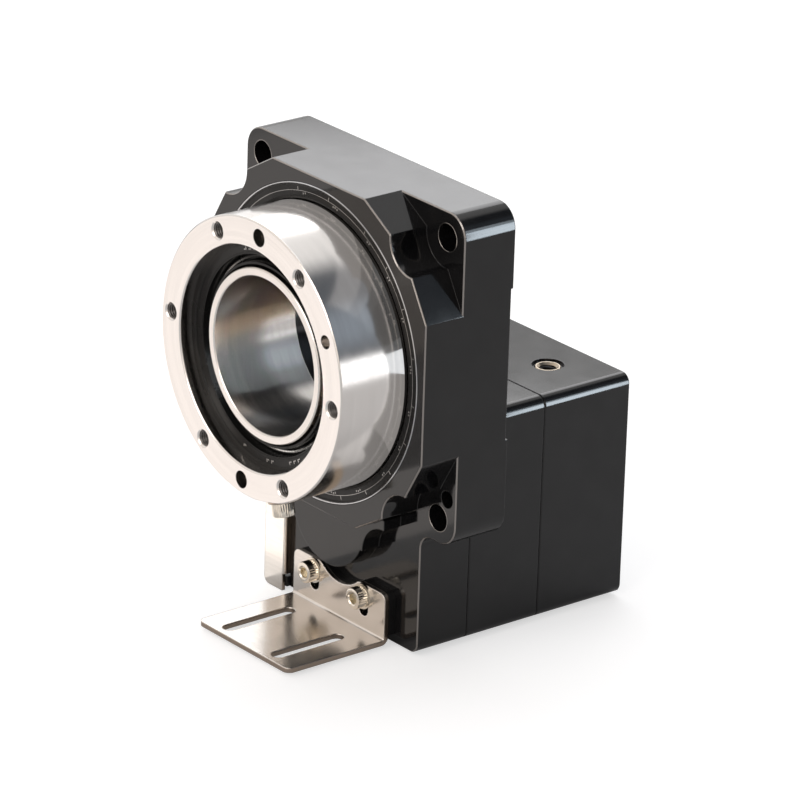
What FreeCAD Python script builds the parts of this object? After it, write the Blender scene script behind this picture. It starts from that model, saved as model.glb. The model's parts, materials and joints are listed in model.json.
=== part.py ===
import FreeCAD, Part
import math
import os
import Sketcher

# Hollow rotary platform
# A square housing carries a hollow turntable on a crossed roller bearing.
# A pinion in the leg below drives the table's gear at five turns to one.
# X runs right, Y runs back from the table face, Z runs up. Millimetres.
# The origin is on the table axis, in the front plane of the four mounting ears.

doc = FreeCAD.newDocument("RotaryPlatform")
sheet = doc.addObject("Spreadsheet::Sheet", "Size")
derived = doc.addObject("Spreadsheet::Sheet", "Derived")

SIZES = {
    # housing outside
    "side": 130.0,
    "corner": 9.0,
    "cover_thick": 6.1,
    "lip_thick": 3.4,
    "flat_half": 27.4,
    "hole_inset": 10.0,
    "hole_radius": 5.2,
    "notch": 12.0,
    "notch_blend": 0.8,
    "pin_inset": 5.2,
    "pin_drop": 8.9,
    "pin_hole_radius": 3.3,
    "over": 1.0,
    "break": 0.45,
    "relief_low": 26.0,
    "relief_high": 33.5,
    "relief_depth": 1.3,
    # leg and drive blocks
    "block": 90.5,
    "block_corner": 4.0,
    "leg_blend_radius": 6.0,
    "boss_radius": 22.0,
    "boss_height": 8.0,
    "boss_neck": 21.0,
    "boss_blend": 12.5,
    "boss_blend_drop": 9.5,
    "boss_root_inset": 3.0,
    "middle_depth": 34.5,
    "adapter_depth": 42.0,
    "block_screw_inset": 6.75,
    "block_screw_high": 3.0,
    "block_screw_rise": 6.25,
    "block_screw_low_inset": 16.25,
    "adapter_screw_inset": 6.25,
    "dowel_radius": 2.5,
    "dowel_length": 16.0,
    "dowel_z": 18.0,
    "middle_head_seat": 6.0,
    "middle_grip": 12.0,
    "adapter_grip": 12.0,
    "adapter_screw_length": 22.0,
    # table ring
    "ring_stand": 29.6,
    "seal_band": 6.8,
    "ring_width": 11.2,
    "ring_gap": 0.6,
    "recess_depth": 14.1,
    "neck_gap": 2.5,
    "hub_wall": 7.6,
    "hub_gap": 0.8,
    "bolt_inset": 5.5,
    "bolt_phase": 4.4,
    "tap_radius": 3.0,
    "tap_chamfer": 0.6,
    "tap_depth": 14.0,
    "dowel_hole_radius": 3.4,
    "index_hole_radius": 2.6,
    "edge": 0.5,
    # fixed sleeve
    "sleeve_wall": 3.4,
    "bore_length": 38.3,
    "spigot_length": 6.2,
    "carrier_step": 1.0,
    "spigot_wall": 1.2,
    "inner_seal_band": 9.7,
    "sleeve_inset": 6.1,
    "flange_width": 10.4,
    "flange_depth": 2.4,
    "sleeve_screw_inset": 4.0,
    # oil seals
    "seal_wall": 3.7,
    "seal_depth": 7.6,
    "seal_gap": 0.3,
    "inner_seal_inset": 0.7,
    "seal_edge": 0.2,
    "seal_face": 0.5,
    "seal_rim": 0.9,
    "seal_lip": 1.4,
    "seal_web": 2.0,
    "spring_wire": 0.85,
    "spring_place": 3.0,
    "spring_depth": 3.15,
    # main bearing
    "bearing_half": 6.0,
    "outer_race_depth": 5.6,
    "inner_race_depth": 5.4,
    "race_gap": 1.6,
    "roller": 4.5,
    "roller_length": 4.2,
    "groove": 5.1,
    "roller_count": 20.0,
    "cage": 0.7,
    "cage_edge": 0.6,
    "cage_window": 0.78,
    "lip_inset": 2.1,
    "retainer_width": 6.5,
    "retainer_depth": 2.9,
    "retainer_screw_inset": 3.2,
    # drive gears
    "gear_teeth": 115.0,
    "pinion_teeth": 23.0,
    "thinning": 0.26,
    "gear_gap": 0.6,
    "gear_width": 7.0,
    "tip_gap": 2.0,
    "chamber_wall": 4.5,
    "gear_back_gap": 1.4,
    "gear_screw_inset": 4.2,
    "pinion_front_over": 0.5,
    "pinion_back_over": 0.7,
    # rear cover
    "cover_inset": 3.5,
    "cover_corner_wall": 8.44,
    "cover_screw_gap": 4.27,
    # pinion shaft and its bearings
    "front_shoulder": 3.0,
    "front_journal": 5.0,
    "front_bearing": 13.0,
    "front_bearing_width": 8.0,
    "shaft": 8.5,
    "shaft_step": 1.5,
    "shaft_room": 2.5,
    "rear_bearing": 17.5,
    "rear_bearing_width": 10.0,
    "rear_bearing_set": 16.0,
    "shaft_grip": 8.0,
    "clip_width": 1.5,
    "clip_depth": 1.2,
    "clip_band": 3.2,
    "clip_gap": 4.0,
    "shield_depth": 0.4,
    "shield_gap": 0.3,
    "inner_share": 0.36,
    "outer_share": 0.28,
    # motor coupling and motor face
    "coupling_radius": 27.0,
    "coupling_set": 12.5,
    "coupling_length": 20.0,
    "coupling_slot": 1.6,
    "clamp_seat": 8.0,
    "clamp_screw_length": 20.0,
    "motor_shaft": 9.5,
    "coupling_room": 3.0,
    "pilot_inset": 10.0,
    "pilot_depth": 4.0,
    "motor_ring_inset": 10.154,
    "motor_tap": 2.5,
    "clamp_inset": 7.2,
    "access_mouth": 6.3,
    "bush_radius": 5.05,
    "bush_bore": 3.3,
    "bush_length": 12.0,
    # slotted sensor bracket
    "sheet_thick": 2.0,
    "bracket_x": 4.0,
    "bracket_half": 27.8,
    "bracket_front": 50.5,
    "bracket_tall": 20.5,
    "bracket_lift": 0.25,
    "bracket_corner": 3.0,
    "bracket_screw_length": 16.0,
    "washer": 1.0,
    "washer_radius": 5.0,
    "washer_bore": 2.65,
    "spacer": 3.0,
    "spacer_lift": 3.5,
    "slot_x": 15.0,
    "slot_half": 2.8,
    "slot_rise": 15.8,
    "slot_tall": 5.4,
    "long_slot_inset": 5.5,
    "long_slot_length": 27.6,
    "arc_rise": 32.4,
    "arc_radius": 16.5,
    # side plate on the leg
    "plate_thick": 1.5,
    "plate_front": 3.0,
    "plate_inset": 13.05,
    "plate_edge": 0.55,
    "plate_step": 1.2,
    "plate_tall": 46.25,
    "plate_below": 1.25,
    "plate_corner": 3.0,
    "plate_room": 2.0,
    "plate_tab_rise": 5.75,
    "plate_screw_rise": 16.25,
    "plate_screw_pitch": 20.0,
    "plate_recess": 16.0,
    "plate_gap": 1.0,
    # home flag under the table ring
    "flag_angle": 76.4,
    "flag_set": 0.6,
    "flag_half": 5.0,
    "flag_thick": 1.2,
    "flag_inset": 1.0,
    "flag_stand": 7.0,
    "flag_screw_inset": 6.6,
    "flag_head": 3.8,
    "flag_screw_length": 8.0,
    "flag_wall": 2.0,
    # screw heads and shanks
    "five_head": 4.25,
    "five_shank": 2.45,
    "five_tap": 2.5,
    "five_clear": 2.8,
    "five_bore": 4.7,
    "four_head": 3.5,
    "four_shank": 1.95,
    "four_tap": 2.0,
    "four_clear": 2.2,
    "four_length": 8.0,
    "three_head": 2.75,
    "three_shank": 1.45,
    "three_tap": 1.5,
    "three_clear": 1.7,
    "three_bore": 3.0,
    "three_length": 5.0,
    "socket_across": 0.62,
    "socket_depth": 0.55,
    "flat_socket": 0.7,
    "fit": 0.05,
}


# Sizes that follow from those above
LINKS = {
    # housing, from its side and the walls around the bearing
    "half_side": "Size.side / 2",
    "hole_place": "half_side - Size.hole_inset",
    "pin_hole_x": "half_side - Size.pin_inset",
    "pin_hole_z": "hole_place - Size.pin_drop",
    "boss_root": "half_side - Size.boss_root_inset",
    "seal_radius": "half_side - Size.seal_wall",
    "face": "Size.bearing_half + Size.lip_thick + Size.seal_depth",
    # table ring, sleeve and bearing, each inside the one before
    "ring_radius": "seal_radius - Size.seal_band",
    "ring_inner": "ring_radius - Size.ring_width",
    "bolt_circle": "ring_radius - Size.bolt_inset",
    "ring_front": "face + Size.ring_stand",
    "ring_back": "Size.bearing_half + Size.lip_thick + Size.ring_gap",
    "recess_floor": "ring_front - Size.recess_depth",
    "sleeve_radius": "ring_inner - Size.inner_seal_band",
    "bore_radius": "sleeve_radius - Size.sleeve_wall",
    "sleeve_front": "ring_front - Size.sleeve_inset",
    "carrier_front": "sleeve_front - Size.bore_length",
    "carrier_bore": "bore_radius + Size.carrier_step",
    "spigot_radius": "carrier_bore + Size.spigot_wall",
    "sleeve_back": "carrier_front - Size.spigot_length",
    "inner_seal_front": "sleeve_front - Size.inner_seal_inset",
    "flange_radius": "sleeve_radius + Size.flange_width",
    "sleeve_screw_ring": "flange_radius - Size.sleeve_screw_inset",
    "hub_bore": "sleeve_radius + Size.hub_gap",
    "hub_radius": "hub_bore + Size.hub_wall",
    "roller_ring": "hub_radius + Size.inner_race_depth",
    "outer_race": "roller_ring + Size.outer_race_depth",
    "lip_bore": "roller_ring + Size.lip_inset",
    "neck_radius": "lip_bore - Size.neck_gap",
    "retainer_radius": "outer_race + Size.retainer_width",
    "retainer_screw_ring": "outer_race + Size.retainer_screw_inset",
    # gears, which fill their chamber and set the distance down to the drive shaft
    "chamber": "half_side - Size.chamber_wall",
    "module": "(chamber - Size.tip_gap) / (Size.gear_teeth / 2 + 1)",
    "drop": "module * (Size.gear_teeth + Size.pinion_teeth) / 2",
    "pinion_chamber": "module * (Size.pinion_teeth / 2 + 1) + Size.tip_gap",
    "gear_front": "Size.bearing_half + Size.retainer_depth + Size.gear_gap",
    "gear_back": "gear_front + Size.gear_width",
    "pinion_front": "gear_front - Size.pinion_front_over",
    "pinion_back": "gear_back + Size.pinion_back_over",
    "chamber_back": "gear_back + Size.gear_back_gap",
    "ear": "chamber_back + Size.cover_thick",
    "gear_screw_ring": "hub_bore + Size.gear_screw_inset",
    # rear cover
    "cover_half": "half_side - Size.cover_inset",
    "cover_corner": "(chamber + Size.cover_corner_wall) * sqrt(2) - cover_half",
    "cover_screw": "(chamber + Size.cover_screw_gap) / sqrt(2)",
    # leg and drive blocks
    "half_block": "Size.block / 2",
    "foot": "drop + half_block",
    "leg_blend": "min(Size.leg_blend_radius; half_side - Size.corner - half_block - Size.fit)",
    "block_screw_x": "half_block - Size.block_screw_inset",
    "block_screw_low": "half_block - Size.block_screw_rise",
    "block_screw_low_x": "half_block - Size.block_screw_low_inset",
    "adapter_screw": "half_block - Size.adapter_screw_inset",
    "motor_ring": "adapter_screw * sqrt(2) - Size.motor_ring_inset",
    "pilot": "motor_ring - Size.pilot_inset",
    "cavity": "Size.coupling_radius + Size.coupling_room",
    "middle_back": "ear + Size.middle_depth",
    "adapter_back": "middle_back + Size.adapter_depth",
    "rear_bearing_front": "ear + Size.rear_bearing_set",
    "coupling_front": "middle_back + Size.coupling_set",
    "coupling_back": "coupling_front + Size.coupling_length",
    "shaft_end": "coupling_front + Size.shaft_grip",
    "access_x": "Size.coupling_radius - Size.clamp_inset",
    "access_y": "(coupling_front + coupling_back) / 2",
    # bracket, side plate and flag
    "bracket_foot": "foot - Size.bracket_lift",
    "bracket_top": "bracket_foot - Size.bracket_tall",
    "spacer_foot": "bracket_foot - Size.spacer_lift",
    "slot_top": "bracket_foot - Size.slot_rise",
    "slot_foot": "slot_top + Size.slot_tall",
    "long_slot_front": "Size.bracket_front - Size.long_slot_inset",
    "long_slot_back": "long_slot_front - Size.long_slot_length",
    "arc_z": "bracket_foot - Size.arc_rise",
    "plate_side": "half_block - Size.plate_inset",
    "plate_reach": "half_block - Size.plate_edge",
    "plate_top": "foot - Size.plate_tall",
    "plate_foot": "foot + Size.plate_below",
    "plate_tab_foot": "foot - Size.plate_tab_rise",
    "plate_back": "Size.plate_recess - Size.plate_room",
    "plate_screw_y": "Size.plate_recess / 2",
    "plate_screw_low": "foot - Size.plate_screw_rise",
    "plate_screw_high": "plate_screw_low - Size.plate_screw_pitch",
    "flag_flat": "ring_radius - Size.flag_set",
    "flag_front": "ring_front - Size.flag_inset",
    "flag_back": "face + Size.flag_stand",
    "flag_screw_y": "ring_front - Size.flag_screw_inset",
}


# Sheets of driving and derived sizes
def fill_sheet():
    row = 0
    for name, size in SIZES.items():
        row += 1
        cell = "A" + str(row)
        sheet.set(cell, str(size))
        sheet.setAlias(cell, name)
    row = 0
    for name, formula in LINKS.items():
        row += 1
        cell = "A" + str(row)
        derived.set(cell, "=" + formula)
        derived.setAlias(cell, name)
    doc.recompute()


def value(text):
    return float(sheet.evalExpression(str(text)))


def count_of(text):
    return int(round(value(text)))


# Sketches
def new_body(name):
    body = doc.addObject("PartDesign::Body", name)
    body.Label = name
    body.Placement = FreeCAD.Placement()
    return body


def sketch_on(body, name, role, height="0"):
    sketch = body.newObject("Sketcher::SketchObject", name)
    planes = [part for part in body.Origin.OriginFeatures if part.Role == role]
    sketch.AttachmentSupport = (planes[0], "")
    sketch.MapMode = "FlatFace"
    sketch.setExpression("AttachmentOffset.Base.z", height)
    return sketch


def bind(sketch, kind, places, text):
    index = sketch.addConstraint(Sketcher.Constraint(kind, *places, value(text)))
    sketch.setExpression("Constraints[" + str(index) + "]", text)


def outline(sketch, corners):
    points = [FreeCAD.Vector(value(x), value(y), 0) for x, y in corners]
    count = len(points)
    first = sketch.GeometryCount
    lines = []
    for index in range(count):
        lines.append(Part.LineSegment(points[index], points[(index + 1) % count]))
    sketch.addGeometry(lines, False)
    joins = []
    for index in range(count):
        after = first + (index + 1) % count
        joins.append(Sketcher.Constraint("Coincident", first + index, 2, after, 1))
    sketch.addConstraint(joins)
    for index, corner in enumerate(corners):
        bind(sketch, "DistanceX", (-1, 1, first + index, 1), corner[0])
        bind(sketch, "DistanceY", (-1, 1, first + index, 1), corner[1])


def circle(sketch, x, y, radius):
    centre = FreeCAD.Vector(value(x), value(y), 0)
    up = FreeCAD.Vector(0, 0, 1)
    index = sketch.addGeometry(Part.Circle(centre, up, value(radius)), False)
    bind(sketch, "DistanceX", (-1, 1, index, 3), x)
    bind(sketch, "DistanceY", (-1, 1, index, 3), y)
    bind(sketch, "Radius", (index,), radius)


def rectangle(sketch, left, right, low, high):
    outline(sketch, [(left, low), (right, low), (right, high), (left, high)])


# Features
def settle(body, feature, before, grows):
    doc.recompute()
    after = body.Shape.Volume
    if grows and after <= before:
        raise RuntimeError(feature.Name + " adds nothing")
    if not grows and after >= before:
        raise RuntimeError(feature.Name + " removes nothing")
    return feature


def volume_of(body):
    doc.recompute()
    return 0.0 if body.Shape.isNull() else body.Shape.Volume


def pad(body, sketch, length, backwards=False):
    before = volume_of(body)
    feature = body.newObject("PartDesign::Pad", sketch.Name + "Pad")
    feature.Profile = sketch
    feature.setExpression("Length", length)
    feature.Reversed = backwards
    return settle(body, feature, before, True)


def pocket(body, sketch, length, backwards=False):
    before = volume_of(body)
    feature = body.newObject("PartDesign::Pocket", sketch.Name + "Pocket")
    feature.Profile = sketch
    feature.setExpression("Length", length)
    feature.Reversed = backwards
    return settle(body, feature, before, False)


def turn(body, sketch, cut=False, angle="360"):
    before = volume_of(body)
    kind = "PartDesign::Groove" if cut else "PartDesign::Revolution"
    feature = body.newObject(kind, sketch.Name + "Turn")
    feature.Profile = sketch
    feature.ReferenceAxis = (sketch, ["V_Axis"])
    feature.setExpression("Angle", angle)
    return settle(body, feature, before, not cut)


def edges_where(shape, test):
    names = []
    for index, edge in enumerate(shape.Edges):
        if test(edge):
            names.append("Edge" + str(index + 1))
    return names


def runs_along(edge, axis):
    if edge.Curve.TypeId != "Part::GeomLine":
        return False
    ends = [vertex.Point for vertex in edge.Vertexes]
    step = ends[1].sub(ends[0])
    return abs(abs(step.dot(axis)) - step.Length) < value("fit") / 100


def soften(body, names, size, kind="Fillet"):
    if not names:
        raise RuntimeError("no edges to soften on " + body.Name)
    base = body.Tip
    before = body.Shape.Volume
    feature = body.newObject("PartDesign::" + kind, body.Name + kind)
    feature.Base = (base, names)
    feature.setExpression("Radius" if kind == "Fillet" else "Size", size)
    doc.recompute()
    if near(body.Shape.Volume, before):
        raise RuntimeError(feature.Name + " changes nothing")
    return feature


def near(first, second):
    return abs(first - second) < value("fit")


def rounded_corners(body, x, z, radius, sign_x=0, sign_z=0):
    along = FreeCAD.Vector(0, 1, 0)

    def test(edge):
        spot = edge.CenterOfMass
        if not runs_along(edge, along):
            return False
        if sign_x and spot.x * sign_x < 0:
            return False
        if sign_z and spot.z * sign_z < 0:
            return False
        return near(abs(spot.x), value(x)) and near(abs(spot.z), value(z))

    soften(body, edges_where(body.Shape, test), radius)


def break_edges(body, y, wanted=None):
    def test(edge):
        level = all(near(vertex.Point.y, value(y)) for vertex in edge.Vertexes)
        return level and (wanted is None or wanted(edge))

    soften(body, edges_where(body.Shape, test), "Size.break", "Chamfer")


def rim_edges(shape, radius, y):
    def test(edge):
        if edge.Curve.TypeId != "Part::GeomCircle":
            return False
        return near(edge.Curve.Radius, value(radius)) and near(edge.Curve.Center.y, value(y))

    return edges_where(shape, test)


# Turned parts about the table axis, from a profile of radius and depth
def turned(name, corners):
    body = new_body(name)
    sketch = sketch_on(body, name + "Profile", "XY_Plane")
    outline(sketch, corners)
    turn(body, sketch)
    return body


# Turned parts about the drive axis below
def turned_low(name, corners):
    body = new_body(name)
    sketch = sketch_on(body, name + "Profile", "XY_Plane", "-Derived.drop")
    outline(sketch, corners)
    turn(body, sketch)
    return body


def around(ring, angle):
    turn_text = "(" + angle + ") * 1 deg"
    return "(" + ring + ") * cos(" + turn_text + ")", "(" + ring + ") * sin(" + turn_text + ")"


def holes(body, name, places, radius, depth, height, backwards=False):
    sketch = sketch_on(body, name, "XZ_Plane", height)
    for x, z in places:
        circle(sketch, x, z, radius)
    return pocket(body, sketch, depth, backwards)


def corner_places(x, z, middle="0"):
    places = []
    for sign_x in ("-", ""):
        for join in (" - ", " + "):
            places.append((sign_x + x, middle + join + z))
    return places


def ring_places(ring, count, start):
    step = 360.0 / count
    return [around(ring, start + " + " + str(step * index)) for index in range(count)]


# Housing: square block with an octagonal face, corner ears and the leg below
def ear_notches(body):
    flat = "Size.flat_half"
    edge = "Derived.half_side"
    reach = "(Derived.hole_place - Size.notch + Size.notch_blend / 10)"
    rise = "(Derived.hole_place + Size.notch_blend)"
    sketch = sketch_on(body, "EarNotch", "XZ_Plane", "Derived.face")
    for sign_x in ("-1", "1"):
        for sign_z in ("-1", "1"):
            corners = [
                (flat, edge),
                (reach, rise),
                ("Derived.hole_place", "Derived.hole_place"),
                (rise, reach),
                (edge, flat),
                (edge + " + Size.corner", flat),
                (edge + " + Size.corner", edge + " + Size.corner"),
                (flat, edge + " + Size.corner"),
            ]
            placed = []
            for x, z in corners:
                placed.append((sign_x + " * (" + x + ")", sign_z + " * (" + z + ")"))
            outline(sketch, placed)
    pocket(body, sketch, "Derived.face")
    places = corner_places("Derived.hole_place", "Derived.hole_place")
    holes(body, "EarArc", places, "Size.notch", "Derived.face", "Derived.face")


def drive_leg(body):
    half = "Derived.half_block"
    foot = "-Derived.foot"
    leg = sketch_on(body, "Leg", "XZ_Plane", "-Derived.ear")
    rectangle(leg, "-" + half, half, foot, "-Derived.half_side + Size.corner")
    pad(body, leg, "Derived.ear")
    rounded_corners(body, half, "Derived.foot", "Size.block_corner")
    rounded_corners(body, half, "Derived.half_side", "Derived.leg_blend", 0, -1)


def outer_edge(edge):
    if edge.Curve.TypeId == "Part::GeomCircle":
        return not near(edge.Curve.Radius, value("Size.notch"))
    spot = edge.CenterOfMass
    rim = value("Derived.half_side")
    foot = value("-Derived.foot")
    outside = near(abs(spot.x), rim) or near(abs(spot.z), rim)
    return outside or near(abs(spot.x), value("Derived.half_block")) or near(spot.z, foot)


def pinion_boss(body):
    boss = sketch_on(body, "Boss", "XZ_Plane", "-Derived.ear / 2")
    circle(boss, "0", "-Derived.drop", "Size.boss_radius")
    pad(body, boss, "Size.boss_height + Derived.ear / 2")
    reach = "(Size.boss_neck + Size.boss_blend)"
    neck = sketch_on(body, "BossNeck", "XZ_Plane", "-Derived.ear / 2")
    low = "-Derived.drop - Size.boss_blend_drop"
    rectangle(neck, "-" + reach, reach, low, "-Derived.boss_root")
    pad(body, neck, "Size.boss_height + Derived.ear / 2")
    places = [("-" + reach, low), (reach, low)]
    holes(body, "BossFlare", places, "Size.boss_blend", "Size.boss_height", "Size.boss_height")


def housing_cavities(body):
    main = sketch_on(body, "MainCavity", "XY_Plane")
    outline(main, [
        ("0", "-Derived.face - Size.corner"),
        ("Derived.seal_radius", "-Derived.face - Size.corner"),
        ("Derived.seal_radius", "-Derived.face + Size.seal_depth"),
        ("Derived.lip_bore", "-Derived.face + Size.seal_depth"),
        ("Derived.lip_bore", "-Size.bearing_half"),
        ("Derived.outer_race + Size.fit", "-Size.bearing_half"),
        ("Derived.outer_race + Size.fit", "Size.bearing_half"),
        ("Derived.chamber", "Size.bearing_half"),
        ("Derived.chamber", "Derived.ear + Size.corner"),
        ("0", "Derived.ear + Size.corner"),
    ])
    turn(body, main, True)
    cover = sketch_on(body, "CoverSeat", "XZ_Plane", "-Derived.ear")
    outline(cover, cover_corners("0"))
    pocket(body, cover, "Derived.ear - Derived.chamber_back", True)
    low = sketch_on(body, "PinionCavity", "XY_Plane", "-Derived.drop")
    front = "Size.front_shoulder - Size.front_bearing_width + Size.fit"
    outline(low, [
        ("0", front),
        ("Size.front_bearing + Size.fit", front),
        ("Size.front_bearing + Size.fit", "Size.front_shoulder"),
        ("Derived.pinion_chamber", "Size.front_shoulder"),
        ("Derived.pinion_chamber", "Derived.ear + Size.corner"),
        ("0", "Derived.ear + Size.corner"),
    ])
    turn(body, low, True)


def cover_corners(shrink):
    half = "(Derived.cover_half - " + shrink + ")"
    cut = "(Derived.cover_corner - " + shrink + " / 2)"
    order = [(half, cut), (cut, half), ("-" + cut, half), ("-" + half, cut)]
    mirrored = [("-" + half, "-" + cut), ("-" + cut, "-" + half), (cut, "-" + half), (half, "-" + cut)]
    return order + mirrored


def bracket_places():
    height = "-Derived.slot_top"
    return [("Size.bracket_x - Size.slot_x", height), ("Size.bracket_x + Size.slot_x", height)]


def middle_screw_places():
    high = "-Derived.drop + Size.block_screw_high"
    low = "-Derived.drop - Derived.block_screw_low"
    return [
        ("-Derived.block_screw_x", high),
        ("Derived.block_screw_x", high),
        ("-Derived.block_screw_low_x", low),
        ("Derived.block_screw_low_x", low),
    ]


def dowel_places():
    height = "-Derived.drop - Size.dowel_z"
    return [("-Derived.block_screw_x", height), ("Derived.block_screw_x", height)]


def housing_holes(body):
    ears = corner_places("Derived.hole_place", "Derived.hole_place")
    holes(body, "EarHoles", ears, "Size.hole_radius", "Derived.ear", "0")
    pin = [("Derived.pin_hole_x", "-Derived.pin_hole_z")]
    holes(body, "PinHole", pin, "Size.pin_hole_radius", "Derived.ear", "0")
    holes(body, "BracketTaps", bracket_places(), "Size.five_tap", "Derived.ear / 2", "0")
    covers = corner_places("Derived.cover_screw", "Derived.cover_screw")
    back = "-Derived.chamber_back"
    holes(body, "CoverTaps", covers, "Size.four_tap", "Derived.ear / 3", back, True)
    ring = ring_places("Derived.retainer_screw_ring", 4, "45")
    holes(body, "RetainerTaps", ring, "Size.three_tap", "Size.bearing_half", "-Size.bearing_half", True)
    rear = "-Derived.ear"
    holes(body, "MiddleTaps", middle_screw_places(), "Size.five_tap", "Derived.ear / 2", rear, True)
    pins = "Size.dowel_radius + Size.fit"
    holes(body, "DowelHoles", dowel_places(), pins, "Size.dowel_length / 2", rear, True)
    step = sketch_on(body, "PlateStep", "XZ_Plane", "0")
    rectangle(step, "-Size.block", "-Derived.plate_side", "-Size.side", "-Derived.plate_top")
    pocket(body, step, "Size.plate_recess")
    side = sketch_on(body, "SideTaps", "YZ_Plane", "-Derived.plate_side")
    circle(side, "Derived.plate_screw_y", "-Derived.plate_screw_high", "Size.four_tap")
    circle(side, "Derived.plate_screw_y", "-Derived.plate_screw_low", "Size.four_tap")
    pocket(body, side, "Derived.ear / 3", True)
    relief = sketch_on(body, "Relief", "XZ_Plane", rear)
    edge = "(Derived.half_side + Size.over)"
    low = "-Size.relief_low"
    rectangle(relief, "Derived.cover_half", edge, low, "Size.relief_high")
    rectangle(relief, "-" + edge, "-Derived.cover_half", low, "Size.relief_high")
    pocket(body, relief, "Size.relief_depth", True)


def make_housing():
    body = new_body("housing")
    block = sketch_on(body, "Block", "XZ_Plane", "-Derived.ear")
    half = "Derived.half_side"
    rectangle(block, "-" + half, half, "-" + half, half)
    pad(body, block, "Derived.ear + Derived.face")
    rounded_corners(body, half, half, "Size.corner")
    drive_leg(body)
    ear_notches(body)
    break_edges(body, "Derived.ear")
    break_edges(body, "-Derived.face")
    break_edges(body, "0", outer_edge)
    pinion_boss(body)
    housing_cavities(body)
    housing_holes(body)
    return body


# Rear cover over the gear chamber
def make_cover():
    body = new_body("rear_cover")
    plate = sketch_on(body, "CoverPlate", "XZ_Plane", "-Derived.ear")
    outline(plate, cover_corners("Size.fit"))
    pad(body, plate, "Derived.ear - Derived.chamber_back")
    rear = "-Derived.ear"
    depth = "Derived.ear - Derived.chamber_back"
    holes(body, "SleeveHole", [("0", "0")], "Derived.sleeve_radius + Size.fit", depth, rear, True)
    seat = "Derived.flange_radius + Size.fit"
    holes(body, "FlangeSeat", [("0", "0")], seat, "Size.flange_depth", rear, True)
    places = corner_places("Derived.cover_screw", "Derived.cover_screw")
    holes(body, "CoverHoles", places, "Size.four_tap", depth, rear, True)
    flare_rims(body, "Size.four_tap", "Derived.ear", "Size.four_head - Size.four_tap")
    taps = ring_places("Derived.sleeve_screw_ring", 4, "45")
    holes(body, "SleeveTaps", taps, "Size.three_tap", depth, rear, True)
    relief = [("0", "-Derived.drop")]
    holes(body, "PinionRelief", relief, "Derived.pinion_chamber", depth, rear, True)
    return body


def flare_rims(body, radius, y, size):
    soften(body, rim_edges(body.Shape, radius, y), size, "Chamfer")


# Fixed steel sleeve that lines the front of the hollow centre
def make_sleeve():
    return turned("hollow_sleeve", [
        ("Derived.bore_radius", "-Derived.sleeve_front + Size.break"),
        ("Derived.bore_radius + Size.break", "-Derived.sleeve_front"),
        ("Derived.sleeve_radius - Size.break", "-Derived.sleeve_front"),
        ("Derived.sleeve_radius", "-Derived.sleeve_front + Size.break"),
        ("Derived.sleeve_radius", "-Derived.sleeve_back"),
        ("Derived.spigot_radius + Size.fit", "-Derived.sleeve_back"),
        ("Derived.spigot_radius + Size.fit", "-Derived.carrier_front"),
        ("Derived.bore_radius", "-Derived.carrier_front"),
    ])


# Black tube with a rear flange that holds the sleeve on its spigot
def make_carrier():
    body = turned("sleeve_carrier", [
        ("Derived.carrier_bore", "-Derived.carrier_front + Size.fit"),
        ("Derived.spigot_radius", "-Derived.carrier_front + Size.fit"),
        ("Derived.spigot_radius", "-Derived.sleeve_back + Size.fit"),
        ("Derived.sleeve_radius", "-Derived.sleeve_back + Size.fit"),
        ("Derived.sleeve_radius", "Derived.ear - Size.flange_depth"),
        ("Derived.flange_radius", "Derived.ear - Size.flange_depth"),
        ("Derived.flange_radius", "Derived.ear"),
        ("Derived.carrier_bore", "Derived.ear"),
    ])
    taps = ring_places("Derived.sleeve_screw_ring", 4, "45")
    holes(body, "FlangeHoles", taps, "Size.three_tap", "Size.flange_depth", "-Derived.ear", True)
    flare_rims(body, "Size.three_tap", "Derived.ear", "Size.three_head - Size.three_tap")
    return body


# Oil seals
def make_outer_seal():
    front = "-Derived.face"
    back = "-Derived.face + Size.seal_depth"
    outer = "Derived.seal_radius - Size.fit"
    inner = "Derived.ring_radius + Size.seal_gap"
    return turned("outer_oil_seal", [
        (outer, front + " + Size.seal_edge"),
        (outer, back),
        (inner + " + Size.seal_lip", back),
        (inner + " + Size.seal_lip", back + " - Size.seal_lip"),
        (outer + " - Size.seal_lip", back + " - Size.seal_lip"),
        (outer + " - Size.seal_lip", front + " + Size.seal_web"),
        (inner + " + Size.seal_rim", front + " + Size.seal_web"),
        (inner, front + " + Size.seal_lip"),
        (inner, front + " + Size.seal_rim"),
        (inner + " + Size.seal_rim", front + " + Size.seal_face"),
        (outer + " - Size.seal_lip", front + " + Size.seal_face"),
        (outer + " - Size.seal_rim", front + " + Size.seal_edge"),
    ])


def make_inner_seal():
    front = "-Derived.inner_seal_front"
    floor = "-Derived.recess_floor - Size.fit"
    outer = "Derived.ring_inner - Size.fit"
    inner = "Derived.sleeve_radius + Size.seal_gap"
    return turned("inner_oil_seal", [
        (outer, front),
        (outer, floor),
        (inner + " + Size.seal_web", floor),
        (inner, floor + " - Size.seal_lip"),
        (inner, floor + " - Size.seal_web"),
        (inner + " + Size.seal_face", front + " + Size.seal_rim"),
        (inner + " + Size.seal_lip", front + " + Size.seal_rim"),
        (inner + " + Size.seal_web", floor + " - Size.seal_web"),
        (inner + " + Size.seal_web * 2", floor + " - Size.seal_web"),
        (inner + " + Size.seal_web * 2 + Size.seal_face", front + " + Size.seal_face"),
        (outer + " - Size.seal_rim", front),
    ])


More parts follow.
